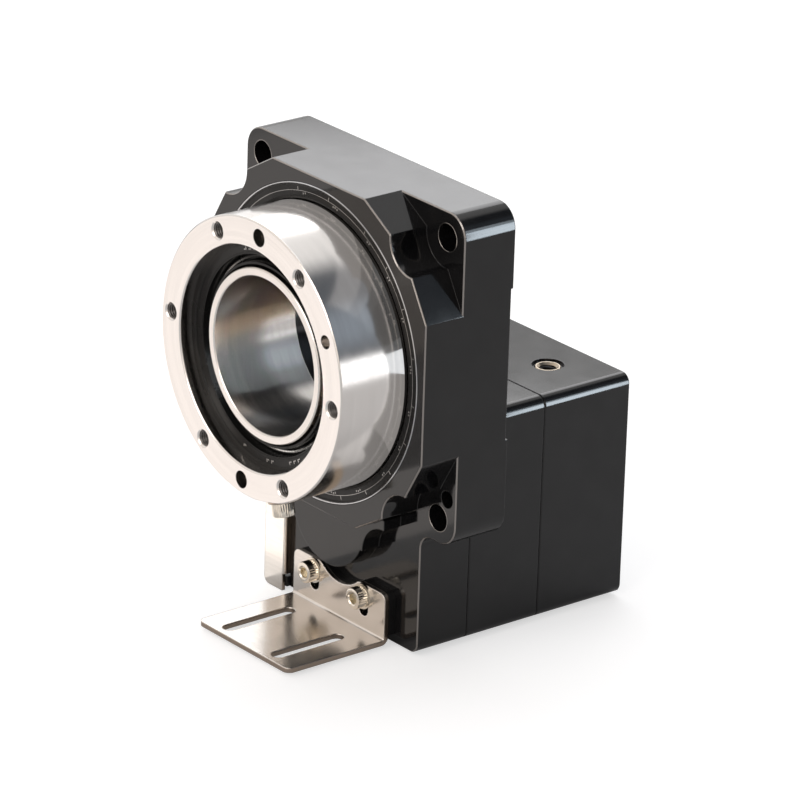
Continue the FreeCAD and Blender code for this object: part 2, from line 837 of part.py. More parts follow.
def make_seal_spring():
    spring = doc.addObject("Part::Torus", "seal_spring")
    spring.Label = "seal_spring"
    spring.setExpression("Radius1", "Derived.sleeve_radius + Size.seal_gap + Size.spring_place")
    spring.setExpression("Radius2", "Size.spring_wire")
    spring.Placement.Rotation = FreeCAD.Rotation(FreeCAD.Vector(1, 0, 0), 90)
    spring.setExpression("Placement.Base.y", "-Derived.recess_floor - Size.fit - Size.spring_depth")
    return spring


# Crossed roller bearing
def race_profile(inner):
    half = "Size.bearing_half"
    apex = "(Size.groove / sqrt(2))"
    sign = " - " if inner else " + "
    face = "(Derived.roller_ring" + sign + "Size.race_gap / 2)"
    tip = "(Derived.roller_ring" + sign + apex + ")"
    mouth = "(" + apex + " - Size.race_gap / 2)"
    wall = "Derived.hub_radius + Size.fit" if inner else "Derived.outer_race"
    return [
        (wall, "-" + half),
        (face, "-" + half),
        (face, "-" + mouth),
        (tip, "0"),
        (face, mouth),
        (face, half),
        (wall, half),
    ]


def make_races():
    return [
        turned("bearing_outer_ring", race_profile(False)),
        turned("bearing_inner_ring", race_profile(True)),
    ]


def make_rollers():
    count = count_of("Size.roller_count")
    rollers = []
    for index in range(count):
        roller = doc.addObject("Part::Cylinder", "Roller" + str(index + 1))
        roller.setExpression("Radius", "Size.roller / 2")
        roller.setExpression("Height", "Size.roller_length")
        lean = 45 if index % 2 else 135
        roll = FreeCAD.Rotation(FreeCAD.Vector(0, 0, 1), -lean)
        lie = FreeCAD.Rotation(FreeCAD.Vector(0, 0, 1), FreeCAD.Vector(0, 1, 0))
        spin = FreeCAD.Rotation(FreeCAD.Vector(0, 1, 0), 360.0 * index / count)
        tilt = spin.multiply(roll).multiply(lie)
        middle = spin.multVec(FreeCAD.Vector(value("Derived.roller_ring"), 0, 0))
        back = tilt.multVec(FreeCAD.Vector(0, 0, value("Size.roller_length") / 2))
        roller.Placement = FreeCAD.Placement(middle.sub(back), tilt)
        rollers.append(roller)
    return grouped("crossed_rollers", rollers)


def make_cage():
    cage = turned("roller_cage", [
        ("Derived.roller_ring - Size.cage / 2", "-Size.bearing_half + Size.cage_edge"),
        ("Derived.roller_ring + Size.cage / 2", "-Size.bearing_half + Size.cage_edge"),
        ("Derived.roller_ring + Size.cage / 2", "Size.bearing_half - Size.cage_edge"),
        ("Derived.roller_ring - Size.cage / 2", "Size.bearing_half - Size.cage_edge"),
    ])
    window = sketch_on(cage, "CageWindow", "YZ_Plane", "Derived.roller_ring - Size.roller")
    circle(window, "0", "0", "Size.roller * Size.cage_window")
    cut = pocket(cage, window, "Size.roller * 2", True)
    pattern = cage.newObject("PartDesign::PolarPattern", "CagePattern")
    pattern.Originals = [cut]
    axes = [part for part in cage.Origin.OriginFeatures if part.Role == "Y_Axis"]
    pattern.Axis = (axes[0], [""])
    pattern.Angle = 360
    pattern.setExpression("Occurrences", "Size.roller_count")
    cage.Tip = pattern
    doc.recompute()
    return cage


def make_retainer():
    body = turned("bearing_retainer", [
        ("Derived.lip_bore", "Size.bearing_half"),
        ("Derived.retainer_radius", "Size.bearing_half"),
        ("Derived.retainer_radius", "Size.bearing_half + Size.retainer_depth"),
        ("Derived.lip_bore", "Size.bearing_half + Size.retainer_depth"),
    ])
    back = "Size.bearing_half + Size.retainer_depth"
    ring = ring_places("Derived.retainer_screw_ring", 4, "45")
    holes(body, "RetainerHoles", ring, "Size.three_tap", "Size.retainer_depth", "-(" + back + ")", True)
    flare_rims(body, "Size.three_tap", back, "Size.three_head - Size.three_tap")
    return body


# Turntable
def make_table_ring():
    front = "-Derived.ring_front"
    body = turned("table_ring", [
        ("Derived.ring_inner + Size.edge", front),
        ("Derived.ring_radius - Size.edge", front),
        ("Derived.ring_radius", front + " + Size.edge"),
        ("Derived.ring_radius", "-Derived.ring_back"),
        ("Derived.neck_radius", "-Derived.ring_back"),
        ("Derived.neck_radius", "-Size.bearing_half"),
        ("Derived.hub_radius", "-Size.bearing_half"),
        ("Derived.hub_radius", "Size.bearing_half"),
        ("Derived.hub_bore", "Size.bearing_half"),
        ("Derived.hub_bore", "-Derived.recess_floor"),
        ("Derived.ring_inner", "-Derived.recess_floor"),
        ("Derived.ring_inner", front + " + Size.edge"),
    ])
    height = "Derived.ring_front"
    taps = ring_places("Derived.bolt_circle", 6, "-Size.bolt_phase")
    holes(body, "TableTaps", taps, "Size.tap_radius", "Size.tap_depth", height)
    flare_rims(body, "Size.tap_radius", "-Derived.ring_front", "Size.tap_chamfer")
    dowels = ring_places("Derived.bolt_circle", 2, "90 - Size.bolt_phase")
    holes(body, "TableDowels", dowels, "Size.dowel_hole_radius", "Size.tap_depth", height)
    index = [around("Derived.bolt_circle", "30 - Size.bolt_phase")]
    holes(body, "TableIndex", index, "Size.index_hole_radius", "Size.tap_depth / 2", height)
    gears = ring_places("Derived.gear_screw_ring", 6, "30")
    hub = "-Size.bearing_half"
    holes(body, "HubTaps", gears, "Size.three_tap", "Size.tap_depth", hub, True)
    flag_seat(body)
    return body


def flag_seat(body):
    across, up = around("1", "-Size.flag_angle")
    seat = sketch_on(body, "FlagSeat", "XZ_Plane", "Derived.ring_front")
    corners = []
    for out, side in (("0", "-1"), ("0", "1"), ("1", "1"), ("1", "-1")):
        reach = "(Derived.flag_flat + " + out + " * Size.flag_half)"
        shift = "(" + side + " * Size.flag_half * 2)"
        x = reach + " * " + across + " - " + shift + " * " + up
        z = reach + " * " + up + " + " + shift + " * " + across
        corners.append((x, z))
    outline(seat, corners)
    pocket(body, seat, "Derived.ring_front - Derived.flag_back + Size.edge")
    tap = sketch_on(body, "FlagTap", "XY_Plane")
    lean_outward(tap, "Derived.flag_flat")
    circle(tap, "0", "-Derived.flag_screw_y", "Size.four_tap")
    pocket(body, tap, "Derived.ring_radius - Derived.ring_inner - Size.flag_wall")


def lean_outward(sketch, radius):
    angle = 90 + value("Size.flag_angle")
    sketch.AttachmentOffset = FreeCAD.Placement(
        FreeCAD.Vector(0, 0, 0), FreeCAD.Rotation(FreeCAD.Vector(0, 1, 0), angle))
    across, up = around(radius, "-Size.flag_angle")
    sketch.setExpression("AttachmentOffset.Base.x", across)
    sketch.setExpression("AttachmentOffset.Base.z", up)
    sketch.setExpression("AttachmentOffset.Rotation.Angle", "(90 + Size.flag_angle) * 1 deg")


# Gear teeth, each flank a straight chord from root to tip
def half_thickness(radius, teeth):
    module = value("Derived.module")
    pitch = module * teeth / 2
    pressure = math.radians(20)
    base = pitch * math.cos(pressure)
    half = (math.pi * module / 2 - value("Size.thinning")) / (2 * pitch)
    held = max(radius, base)
    lean = math.acos(base / held)
    grown = math.tan(pressure) - pressure - (math.tan(lean) - lean)
    return half + grown


def tooth_points(teeth, start):
    module = value("Derived.module")
    pitch = module * teeth / 2
    root = pitch - 1.25 * module
    tip = pitch + module
    points = []
    for index in range(teeth):
        middle = start + 2 * math.pi * index / teeth
        low = half_thickness(root, teeth)
        high = half_thickness(tip, teeth)
        for radius, angle in ((root, -low), (tip, -high), (tip, high), (root, low)):
            points.append((radius, middle + angle))
    return points


def toothed_disc(teeth, start, front, back, drop):
    points = []
    for radius, angle in tooth_points(teeth, start):
        x = radius * math.cos(angle)
        z = radius * math.sin(angle) - drop
        points.append(FreeCAD.Vector(x, front, z))
    points.append(points[0])
    face = Part.Face(Part.makePolygon(points))
    return face.extrude(FreeCAD.Vector(0, back - front, 0))


def tube(radius, bore, front, back, x=0.0, z=0.0):
    spot = FreeCAD.Vector(x, front, z)
    along = FreeCAD.Vector(0, 1, 0)
    solid = Part.makeCylinder(radius, back - front, spot, along)
    if bore:
        solid = solid.cut(Part.makeCylinder(bore, back - front, spot, along))
    return solid


def shaped(name, shape):
    feature = doc.addObject("Part::Feature", name)
    feature.Label = name
    feature.Shape = shape
    feature.Placement = FreeCAD.Placement()
    return feature


def make_drive_gear():
    teeth = count_of("Size.gear_teeth")
    front = value("Derived.gear_front")
    back = value("Derived.gear_back")
    start = value("Size.bearing_half")
    disc = toothed_disc(teeth, -math.pi / 2, front, back, 0.0)
    hub = tube(value("Derived.roller_ring - Size.race_gap"), 0, start, front)
    solid = disc.fuse(hub)
    solid = solid.cut(tube(value("Derived.hub_bore"), 0, start, back))
    for x, z in ring_places("Derived.gear_screw_ring", 6, "30"):
        place = (value(x), value(z))
        solid = solid.cut(tube(value("Size.three_clear"), 0, start, back, *place))
        seat = back - value("Size.three_bore")
        solid = solid.cut(tube(value("Size.three_bore"), 0, seat, back, *place))
    return shaped("drive_gear", solid.removeSplitter())


# Drive shaft with its pinion
def make_pinion_shaft():
    teeth = count_of("Size.pinion_teeth")
    front = value("Derived.pinion_front")
    back = value("Derived.pinion_back")
    drop = value("Derived.drop")
    journal = value("Size.front_journal")
    shaft = value("Size.shaft")
    solid = toothed_disc(teeth, -math.pi / 2, front, back, drop)
    nose = value("Size.front_shoulder - Size.front_bearing_width + Size.edge")
    shoulder = value("Size.front_shoulder")
    step = value("Size.shaft_step")
    solid = solid.fuse(tube(journal, 0, nose, shoulder, 0.0, -drop))
    solid = solid.fuse(tube(shaft - step, 0, shoulder, front, 0.0, -drop))
    collar = value("Derived.rear_bearing_front")
    solid = solid.fuse(tube(shaft + step, 0, back, collar, 0.0, -drop))
    solid = solid.fuse(tube(shaft, 0, collar, value("Derived.shaft_end"), 0.0, -drop))
    return shaped("pinion_shaft", solid.removeSplitter())


# Shielded ball bearings of the drive shaft
def shielded_pair(name, bore, radius, front, width):
    back = "(" + front + " + " + width + ")"
    band = "(" + radius + " - " + bore + ")"
    lip = "(" + bore + " + " + band + " * Size.inner_share)"
    wall = "(" + radius + " - " + band + " * Size.outer_share)"
    edge = lip + " + Size.shield_gap"
    outer = turned_low(name + "_outer_ring", [
        (edge, front + " + Size.shield_depth"),
        (wall, front + " + Size.shield_depth"),
        (wall, front),
        (radius, front),
        (radius, back),
        (wall, back),
        (wall, back + " - Size.shield_depth"),
        (edge, back + " - Size.shield_depth"),
    ])
    inner = turned_low(name + "_inner_ring", [
        (bore + " + Size.fit", front),
        (lip, front),
        (lip, back),
        (bore + " + Size.fit", back),
    ])
    return [outer, inner]


def make_shaft_bearings():
    start = "(Size.front_shoulder - Size.front_bearing_width + Size.fit)"
    width = "Size.front_bearing_width - Size.fit"
    front = shielded_pair("front_bearing", "Size.front_journal", "Size.front_bearing", start, width)
    place = "Derived.rear_bearing_front"
    rear = shielded_pair("rear_bearing", "Size.shaft", "Size.rear_bearing", place, "Size.rear_bearing_width")
    return front + rear


def make_clip():
    start = "(Derived.rear_bearing_front + Size.rear_bearing_width)"
    radius = "(Size.rear_bearing + Size.clip_depth - Size.fit)"
    body = turned_low("bearing_clip", [
        (radius + " - Size.clip_band", start),
        (radius, start),
        (radius, start + " + Size.clip_width"),
        (radius + " - Size.clip_band", start + " + Size.clip_width"),
    ])
    gap = sketch_on(body, "ClipGap", "XZ_Plane", "-(" + start + " + Size.clip_width)")
    low = "-Derived.drop - Size.rear_bearing - Size.clip_gap"
    rectangle(gap, "-Size.clip_gap", "Size.clip_gap", low, "-Derived.drop - Size.shaft")
    pocket(body, gap, "Size.clip_width", True)
    return body


# Drive blocks behind the leg
def square_block(name, back, depth):
    body = new_body(name)
    sketch = sketch_on(body, name + "Outline", "XZ_Plane", "-(" + back + ")")
    half = "Derived.half_block"
    rectangle(sketch, "-" + half, half, "-Derived.drop - " + half, "-Derived.drop + " + half)
    pad(body, sketch, depth)
    rounded_corners(body, half, "Derived.drop + " + half, "Size.block_corner")
    rounded_corners(body, half, "Derived.drop - " + half, "Size.block_corner")
    break_edges(body, back)
    break_edges(body, "(" + back + " - " + depth + ")")
    return body


def adapter_places():
    return corner_places("Derived.adapter_screw", "Derived.adapter_screw", "-Derived.drop")


def make_middle_block():
    back = "Derived.middle_back"
    body = square_block("middle_block", back, "Size.middle_depth")
    cavity = sketch_on(body, "BearingCavity", "XY_Plane", "-Derived.drop")
    bore = "Size.shaft + Size.shaft_room"
    seat = "Size.rear_bearing + Size.fit"
    groove = "Size.rear_bearing + Size.clip_depth"
    start = "Derived.rear_bearing_front + Size.rear_bearing_width - Size.fit / 2"
    end = start + " + Size.clip_width + Size.fit"
    outline(cavity, [
        ("0", "Derived.ear - Size.over"),
        (bore, "Derived.ear - Size.over"),
        (bore, "Derived.rear_bearing_front"),
        (seat, "Derived.rear_bearing_front"),
        (seat, start),
        (groove, start),
        (groove, end),
        (seat, end),
        (seat, back + " + Size.over"),
        ("0", back + " + Size.over"),
    ])
    turn(body, cavity, True)
    rear = "-" + back
    holes(body, "MiddleHoles", middle_screw_places(), "Size.five_clear", "Size.middle_depth", rear, True)
    holes(body, "MiddleBores", middle_screw_places(), "Size.five_bore", "Size.middle_head_seat", rear, True)
    holes(body, "AdapterTaps", adapter_places(), "Size.five_tap", "Size.middle_grip", rear, True)
    radius = "Size.dowel_radius + Size.fit"
    holes(body, "MiddleDowels", dowel_places(), radius, "Size.dowel_length / 2", "-Derived.ear")
    return body


def make_adapter():
    front = "Derived.middle_back"
    back = "Derived.adapter_back"
    body = square_block("motor_adapter", back, "Size.adapter_depth")
    cavity = sketch_on(body, "CouplingCavity", "XY_Plane", "-Derived.drop")
    outline(cavity, [
        ("0", front + " - Size.over"),
        ("Derived.cavity", front + " - Size.over"),
        ("Derived.cavity", back + " - Size.pilot_depth"),
        ("Derived.pilot", back + " - Size.pilot_depth"),
        ("Derived.pilot", back + " + Size.over"),
        ("0", back + " + Size.over"),
    ])
    turn(body, cavity, True)
    rear = "-" + back
    motor = corner_places("Derived.motor_ring / sqrt(2)", "Derived.motor_ring / sqrt(2)", "-Derived.drop")
    holes(body, "MotorTaps", motor, "Size.motor_tap", "Size.adapter_depth / 3", rear, True)
    holes(body, "AdapterHoles", adapter_places(), "Size.five_clear", "Size.adapter_depth", rear, True)
    seat = "Size.adapter_depth - Size.adapter_grip"
    holes(body, "AdapterBores", adapter_places(), "Size.five_bore", seat, rear, True)
    top = "-Derived.drop + Derived.half_block"
    access = sketch_on(body, "AccessHole", "XY_Plane", top)
    circle(access, "Derived.access_x", "Derived.access_y", "Size.bush_radius + Size.fit")
    pocket(body, access, "Derived.half_block")
    mouth = sketch_on(body, "AccessMouth", "XY_Plane", top)
    circle(mouth, "Derived.access_x", "Derived.access_y", "Size.access_mouth")
    pocket(body, mouth, "Size.edge * 2")
    return body


def make_bush():
    body = new_body("access_bush")
    top = "-Derived.drop + Derived.half_block - Size.edge"
    sketch = sketch_on(body, "BushRing", "XY_Plane", top)
    circle(sketch, "Derived.access_x", "Derived.access_y", "Size.bush_radius")
    circle(sketch, "Derived.access_x", "Derived.access_y", "Size.bush_bore")
    pad(body, sketch, "Size.bush_length", True)
    return body


def make_dowels():
    body = new_body("locating_dowels")
    sketch = sketch_on(body, "Dowels", "XZ_Plane", "-Derived.ear - Size.dowel_length / 2 + Size.fit")
    for x, z in dowel_places():
        circle(sketch, x, z, "Size.dowel_radius")
    pad(body, sketch, "Size.dowel_length - Size.fit * 2")
    return body


# Split clamp that joins the motor shaft to the drive shaft
def make_coupling():
    middle = "Derived.shaft_end + Size.edge"
    body = turned_low("coupling_hub", [
        ("Size.shaft + Size.fit", "Derived.coupling_front"),
        ("Size.coupling_radius", "Derived.coupling_front"),
        ("Size.coupling_radius", "Derived.coupling_back"),
        ("Size.motor_shaft", "Derived.coupling_back"),
        ("Size.motor_shaft", middle),
        ("Size.shaft + Size.fit", middle),
    ])
    slot = sketch_on(body, "ClampSlot", "XZ_Plane", "-Derived.coupling_back")
    half = "Size.coupling_slot / 2"
    low = "-Derived.drop - " + half
    rectangle(slot, "Size.shaft / 2", "Size.coupling_radius + Size.over", low, "-Derived.drop + " + half)
    pocket(body, slot, "Derived.coupling_back - Derived.coupling_front", True)
    bore = sketch_on(body, "ClampBore", "XY_Plane", "-Derived.drop + Size.coupling_radius")
    circle(bore, "Derived.access_x", "Derived.access_y", "Size.five_bore")
    pocket(body, bore, "Size.coupling_radius - Size.clamp_seat")
    hole = sketch_on(body, "ClampHole", "XY_Plane", "-Derived.drop + Size.coupling_radius")
    circle(hole, "Derived.access_x", "Derived.access_y", "Size.five_tap")
    pocket(body, hole, "Size.coupling_radius * 2")
    return body


# Slotted angle bracket with its spacer
def flange_outline(sketch, foot):
    left = "Size.bracket_x - Size.bracket_half"
    right = "Size.bracket_x + Size.bracket_half"
    rectangle(sketch, left, right, foot, "-Derived.bracket_top")


def slot_cut(body, name, role, height, depth, ends):
    radius = "Size.slot_half"
    for label, shift in (("Left", " - "), ("Right", " + ")):
        centre = "Size.bracket_x" + shift + "Size.slot_x"
        for tag, end in (("Near", ends[0]), ("Far", ends[1])):
            sketch = sketch_on(body, name + label + tag, role, height)
            circle(sketch, centre, end, radius)
            pocket(body, sketch, depth)
        sketch = sketch_on(body, name + label + "Web", role, height)
        rectangle(sketch, centre + " - " + radius, centre + " + " + radius, ends[0], ends[1])
        pocket(body, sketch, depth)


def arc_cut(body, height, depth):
    places = [("Size.bracket_x", "-Derived.arc_z")]
    holes(body, body.Name + "Arc", places, "Size.arc_radius", depth, height)


def top_corners(body):
    along = FreeCAD.Vector(0, 1, 0)

    def test(edge):
        return runs_along(edge, along) and near(edge.CenterOfMass.z, -value("Derived.bracket_top"))

    soften(body, edges_where(body.Shape, test), "Size.bracket_corner")


def make_bracket():
    body = new_body("sensor_bracket")
    shelf = sketch_on(body, "Shelf", "XY_Plane", "-Derived.bracket_foot")
    left = "Size.bracket_x - Size.bracket_half"
    right = "Size.bracket_x + Size.bracket_half"
    rectangle(shelf, left, right, "-Size.bracket_front", "-Size.spacer")
    pad(body, shelf, "Size.sheet_thick")
    upright = sketch_on(body, "Upright", "XZ_Plane", "Size.spacer")
    flange_outline(upright, "-Derived.bracket_foot")
    pad(body, upright, "Size.sheet_thick")
    face = "Size.spacer + Size.sheet_thick"
    arc_cut(body, face, "Size.sheet_thick")
    top_corners(body)
    upward = FreeCAD.Vector(0, 0, 1)
    across = FreeCAD.Vector(1, 0, 0)

    def front_corner(edge):
        return runs_along(edge, upward) and near(edge.CenterOfMass.y, -value("Size.bracket_front"))

    soften(body, edges_where(body.Shape, front_corner), "Size.bracket_corner")

    def outer_bend(edge):
        spot = edge.CenterOfMass
        low = near(spot.z, -value("Derived.bracket_foot"))
        return runs_along(edge, across) and low and near(spot.y, -value("Size.spacer"))

    soften(body, edges_where(body.Shape, outer_bend), "Size.sheet_thick * 1.5")

    def inner_bend(edge):
        spot = edge.CenterOfMass
        low = near(spot.z, -value("Derived.bracket_foot - Size.sheet_thick"))
        return runs_along(edge, across) and low and near(spot.y, -value(face))

    soften(body, edges_where(body.Shape, inner_bend), "Size.sheet_thick * 0.5")
    heights = ("-Derived.slot_foot", "-Derived.slot_top")
    slot_cut(body, "Upright", "XZ_Plane", face, "Size.sheet_thick", heights)
    depths = ("-Derived.long_slot_front", "-Derived.long_slot_back")
    top = "-Derived.bracket_foot + Size.sheet_thick"
    slot_cut(body, "Shelf", "XY_Plane", top, "Size.sheet_thick", depths)
    return body


def make_spacer():
    body = new_body("bracket_spacer")
    sketch = sketch_on(body, "SpacerOutline", "XZ_Plane", "0")
    flange_outline(sketch, "-Derived.spacer_foot")
    pad(body, sketch, "Size.spacer")
    arc_cut(body, "Size.spacer", "Size.spacer")
    top_corners(body)
    heights = ("-Derived.slot_foot", "-Derived.slot_top")
    slot_cut(body, "Spacer", "XZ_Plane", "Size.spacer", "Size.spacer", heights)
    return body


# Angle plate in the step at the left of the leg
def make_side_plate():
    body = new_body("side_plate")
    face = sketch_on(body, "PlateFace", "XZ_Plane", "Size.plate_front - Size.plate_thick")
    low = "-Derived.plate_foot"
    step = "-Derived.plate_side - Size.plate_step"
    tab = "-Derived.plate_tab_foot"
    top = "-Derived.plate_top - Size.plate_gap"
    outline(face, [
        ("-Derived.plate_reach", low),
        (step, low),
        (step, tab),
        ("-Derived.plate_side", tab),
        ("-Derived.plate_side", top),
        ("-Derived.plate_reach", top),
    ])
    pad(body, face, "Size.plate_thick")
    along = FreeCAD.Vector(0, 1, 0)

    def foot_corner(edge):
        spot = edge.CenterOfMass
        outer = near(spot.x, -value("Derived.plate_reach"))
        return runs_along(edge, along) and outer and near(spot.z, -value("Derived.plate_foot"))

    soften(body, edges_where(body.Shape, foot_corner), "Size.plate_corner")
    tab_sketch = sketch_on(body, "PlateTab", "XZ_Plane", "-Derived.plate_back")
    inner = "-Derived.plate_side - Size.plate_thick"
    rectangle(tab_sketch, inner, "-Derived.plate_side", tab, top)
    pad(body, tab_sketch, "Derived.plate_back + Size.plate_front")
    upward = FreeCAD.Vector(0, 0, 1)

    def bend(edge):
        spot = edge.CenterOfMass
        outer = near(spot.x, -value("Derived.plate_side"))
        return runs_along(edge, upward) and outer and near(spot.y, -value("Size.plate_front"))

    soften(body, edges_where(body.Shape, bend), "Size.plate_thick")
    side = sketch_on(body, "PlateHoles", "YZ_Plane", "-Derived.plate_side")
    circle(side, "Derived.plate_screw_y", "-Derived.plate_screw_high", "Size.four_clear")
    circle(side, "Derived.plate_screw_y", "-Derived.plate_screw_low", "Size.four_clear")
    pocket(body, side, "Size.plate_thick")
    return body


# Home flag on the rim of the table ring
def make_flag():
    body = new_body("sensor_flag")
    sketch = sketch_on(body, "FlagOutline", "XY_Plane")
    lean_outward(sketch, "Derived.flag_flat")
    half = "Size.flag_half"
    rectangle(sketch, "-" + half, half, "-Derived.flag_front + " + half, "-Derived.flag_back")
    pad(body, sketch, "Size.flag_thick")
    nose = sketch_on(body, "FlagNose", "XY_Plane")
    lean_outward(nose, "Derived.flag_flat")
    circle(nose, "0", "-Derived.flag_front + " + half, half + " - Size.fit / 10")
    pad(body, nose, "Size.flag_thick")
    hole = sketch_on(body, "FlagHole", "XY_Plane")
    lean_outward(hole, "Derived.flag_flat + Size.flag_thick")
    circle(hole, "0", "-Derived.flag_screw_y", "Size.four_clear")
    pocket(body, hole, "Size.flag_thick")
    return body


# Screws: head outward from the spot, shank inward
def part_piece(kind, name, sizes, lift="0"):
    piece = doc.addObject(kind, name)
    for label, text in sizes:
        piece.setExpression(label, text)
    piece.setExpression("Placement.Base.z", lift)
    return piece


def hex_socket(name, across, depth, top):
    piece = doc.addObject("Part::Prism", name)
    piece.Polygon = 6
    piece.setExpression("Circumradius", across)
    piece.setExpression("Height", depth)
    piece.setExpression("Placement.Base.z", "(" + top + ") - (" + depth + ")")
    return piece


def place_screw(screw, spot, outward):
    turned_to = FreeCAD.Rotation(FreeCAD.Vector(0, 0, 1), FreeCAD.Vector(*outward))
    screw.Placement = FreeCAD.Placement(FreeCAD.Vector(0, 0, 0), turned_to)
    for axis, text in zip("xyz", spot):
        screw.setExpression("Placement.Base." + axis, text)
    return screw


def joined(name, pieces, socket):
    solid = doc.addObject("Part::MultiFuse", name + "Solid")
    solid.Shapes = pieces
    solid.Refine = True
    screw = doc.addObject("Part::Cut", name)
    screw.Base = solid
    screw.Tool = socket
    return screw


def cap_screw(name, spot, outward, head, tall, shank, length):
    cap = part_piece("Part::Cylinder", name + "Cap", [("Radius", head), ("Height", tall)])
    stem_sizes = [("Radius", shank), ("Height", "(" + length + ") + (" + tall + ") / 4")]
    stem = part_piece("Part::Cylinder", name + "Stem", stem_sizes, "-(" + length + ")")
    socket = hex_socket(name + "Socket", head + " * Size.socket_across", tall + " * Size.socket_depth", tall)
    return place_screw(joined(name, [cap, stem], socket), spot, outward)


def flat_screw(name, spot, outward, head, shank, length):
    rim = "(" + head + " - Size.fit)"
    deep = "(" + rim + " - " + shank + ")"
    sizes = [("Radius1", shank), ("Radius2", rim), ("Height", deep)]
    cone = part_piece("Part::Cone", name + "Cone", sizes, "-" + deep)
    stem_sizes = [("Radius", shank), ("Height", "(" + length + ") - " + deep + " / 2")]
    stem = part_piece("Part::Cylinder", name + "Stem", stem_sizes, "-(" + length + ")")
    socket = hex_socket(name + "Socket", shank + " * Size.flat_socket", deep + " * Size.flat_socket", "0")
    return place_screw(joined(name, [cone, stem], socket), spot, outward)


def grouped(label, pieces):
    group = doc.addObject("Part::Compound", label)
    group.Label = label
    group.Links = pieces
    return group


def flat_screws(label, places, y, head, shank, length):
    screws = []
    for index, place in enumerate(places):
        spot = (place[0], y, place[1])
        screws.append(flat_screw(label + str(index + 1), spot, (0, 1, 0), head, shank, length))
    return grouped(label, screws)


def cap_screws(label, places, y, outward, sizes, length):
    head, tall, shank = sizes
    screws = []
    for index, place in enumerate(places):
        spot = (place[0], y, place[1])
        screws.append(cap_screw(label + str(index + 1), spot, outward, head, tall, shank, length))
    return grouped(label, screws)


FIVE = ("Size.five_head", "(Size.five_shank * 2)", "Size.five_shank")
FOUR = ("Size.four_head", "(Size.four_shank * 2)", "Size.four_shank")
THREE = ("Size.three_head", "(Size.three_shank * 2)", "Size.three_shank")
BACKWARD = (0, 1, 0)
FORWARD = (0, -1, 0)


def make_static_screws():
    cover = corner_places("Derived.cover_screw", "Derived.cover_screw")
    sleeve = ring_places("Derived.sleeve_screw_ring", 4, "45")
    retainer = ring_places("Derived.retainer_screw_ring", 4, "45")
    back = "Size.bearing_half + Size.retainer_depth"
    middle = "Derived.middle_back"
    washer = "-Size.spacer - Size.sheet_thick - Size.washer"
    middle_length = "Size.middle_depth - Size.middle_head_seat + Size.middle_grip - Size.over * 2"
    return [
        flat_screws("cover_screws", cover, "Derived.ear", FOUR[0], FOUR[2], "Derived.ear / 2"),
        flat_screws("sleeve_screws", sleeve, "Derived.ear", THREE[0], THREE[2], "Size.three_length"),
        flat_screws("retainer_screws", retainer, back, THREE[0], THREE[2], "Size.bearing_half + Size.over"),
        cap_screws("middle_block_screws", middle_screw_places(), middle + " - Size.middle_head_seat",
                   BACKWARD, FIVE, middle_length),
        cap_screws("adapter_screws", adapter_places(), middle + " + Size.adapter_grip",
                   BACKWARD, FIVE, "Size.adapter_screw_length"),
        cap_screws("bracket_screws", bracket_places(), washer, FORWARD, FIVE, "Size.bracket_screw_length"),
        make_side_screws(),
    ]


def make_side_screws():
    screws = []
    for index, height in enumerate(("-Derived.plate_screw_high", "-Derived.plate_screw_low")):
        spot = ("-Derived.plate_side - Size.plate_thick", "Derived.plate_screw_y", height)
        name = "SideScrew" + str(index + 1)
        screws.append(cap_screw(name, spot, (-1, 0, 0), *FOUR, "Size.four_length"))
    return grouped("side_plate_screws", screws)


def make_washers():
    body = new_body("bracket_washers")
    sketch = sketch_on(body, "Washers", "XZ_Plane", "Size.spacer + Size.sheet_thick")
    for x, z in bracket_places():
        circle(sketch, x, z, "Size.washer_radius")
        circle(sketch, x, z, "Size.washer_bore")
    pad(body, sketch, "Size.washer")
    return body


def make_moving_screws():
    gear = ring_places("Derived.gear_screw_ring", 6, "30")
    seat = "Derived.gear_back - Size.three_bore"
    flag_radius = "(Derived.flag_flat + Size.flag_thick)"
    across, up = around(flag_radius, "-Size.flag_angle")
    angle = math.radians(value("Size.flag_angle"))
    outward = (math.cos(angle), 0, -math.sin(angle))
    flag = cap_screw("flag_screw", (across, "-Derived.flag_screw_y", up), outward,
                     "Size.flag_head", FOUR[1], FOUR[2], "Size.flag_screw_length")
    flag.Label = "flag_screw"
    clamp_spot = ("Derived.access_x", "Derived.access_y", "-Derived.drop + Size.clamp_seat")
    clamp = cap_screw("coupling_screw", clamp_spot, (0, 0, 1), *FIVE, "Size.clamp_screw_length")
    clamp.Label = "coupling_screw"
    return [
        cap_screws("gear_screws", gear, seat, BACKWARD, THREE, "Size.tap_depth"),
        flag,
        clamp,
    ]


# Build, check and write every piece
def make_all():
    fill_sheet()
    pieces = [make_housing(), make_cover(), make_sleeve(), make_carrier()]
    pieces += [make_outer_seal(), make_inner_seal(), make_seal_spring()]
    pieces += make_races()
    pieces += [make_rollers(), make_cage(), make_retainer()]
    pieces += [make_table_ring(), make_drive_gear(), make_pinion_shaft()]
    pieces += make_shaft_bearings()
    pieces += [make_clip(), make_middle_block(), make_adapter(), make_bush(), make_dowels()]
    pieces += [make_coupling(), make_bracket(), make_spacer(), make_washers()]
    pieces += [make_side_plate(), make_flag()]
    pieces += make_static_screws()
    pieces += make_moving_screws()
    return pieces


def check(pieces):
    doc.recompute()
    for item in doc.Objects:
        if "Invalid" in item.State or "Error" in item.State:
            raise RuntimeError("failed: " + item.Label)
    for piece in pieces:
        if piece.Shape.isNull() or not piece.Shape.isValid():
            raise RuntimeError("bad shape: " + piece.Label)


def write(pieces):
    os.makedirs("parts", exist_ok=True)
    for piece in pieces:
        piece.Shape.exportStep("parts/" + piece.Label + ".step")


all_pieces = make_all()
check(all_pieces)
write(all_pieces)
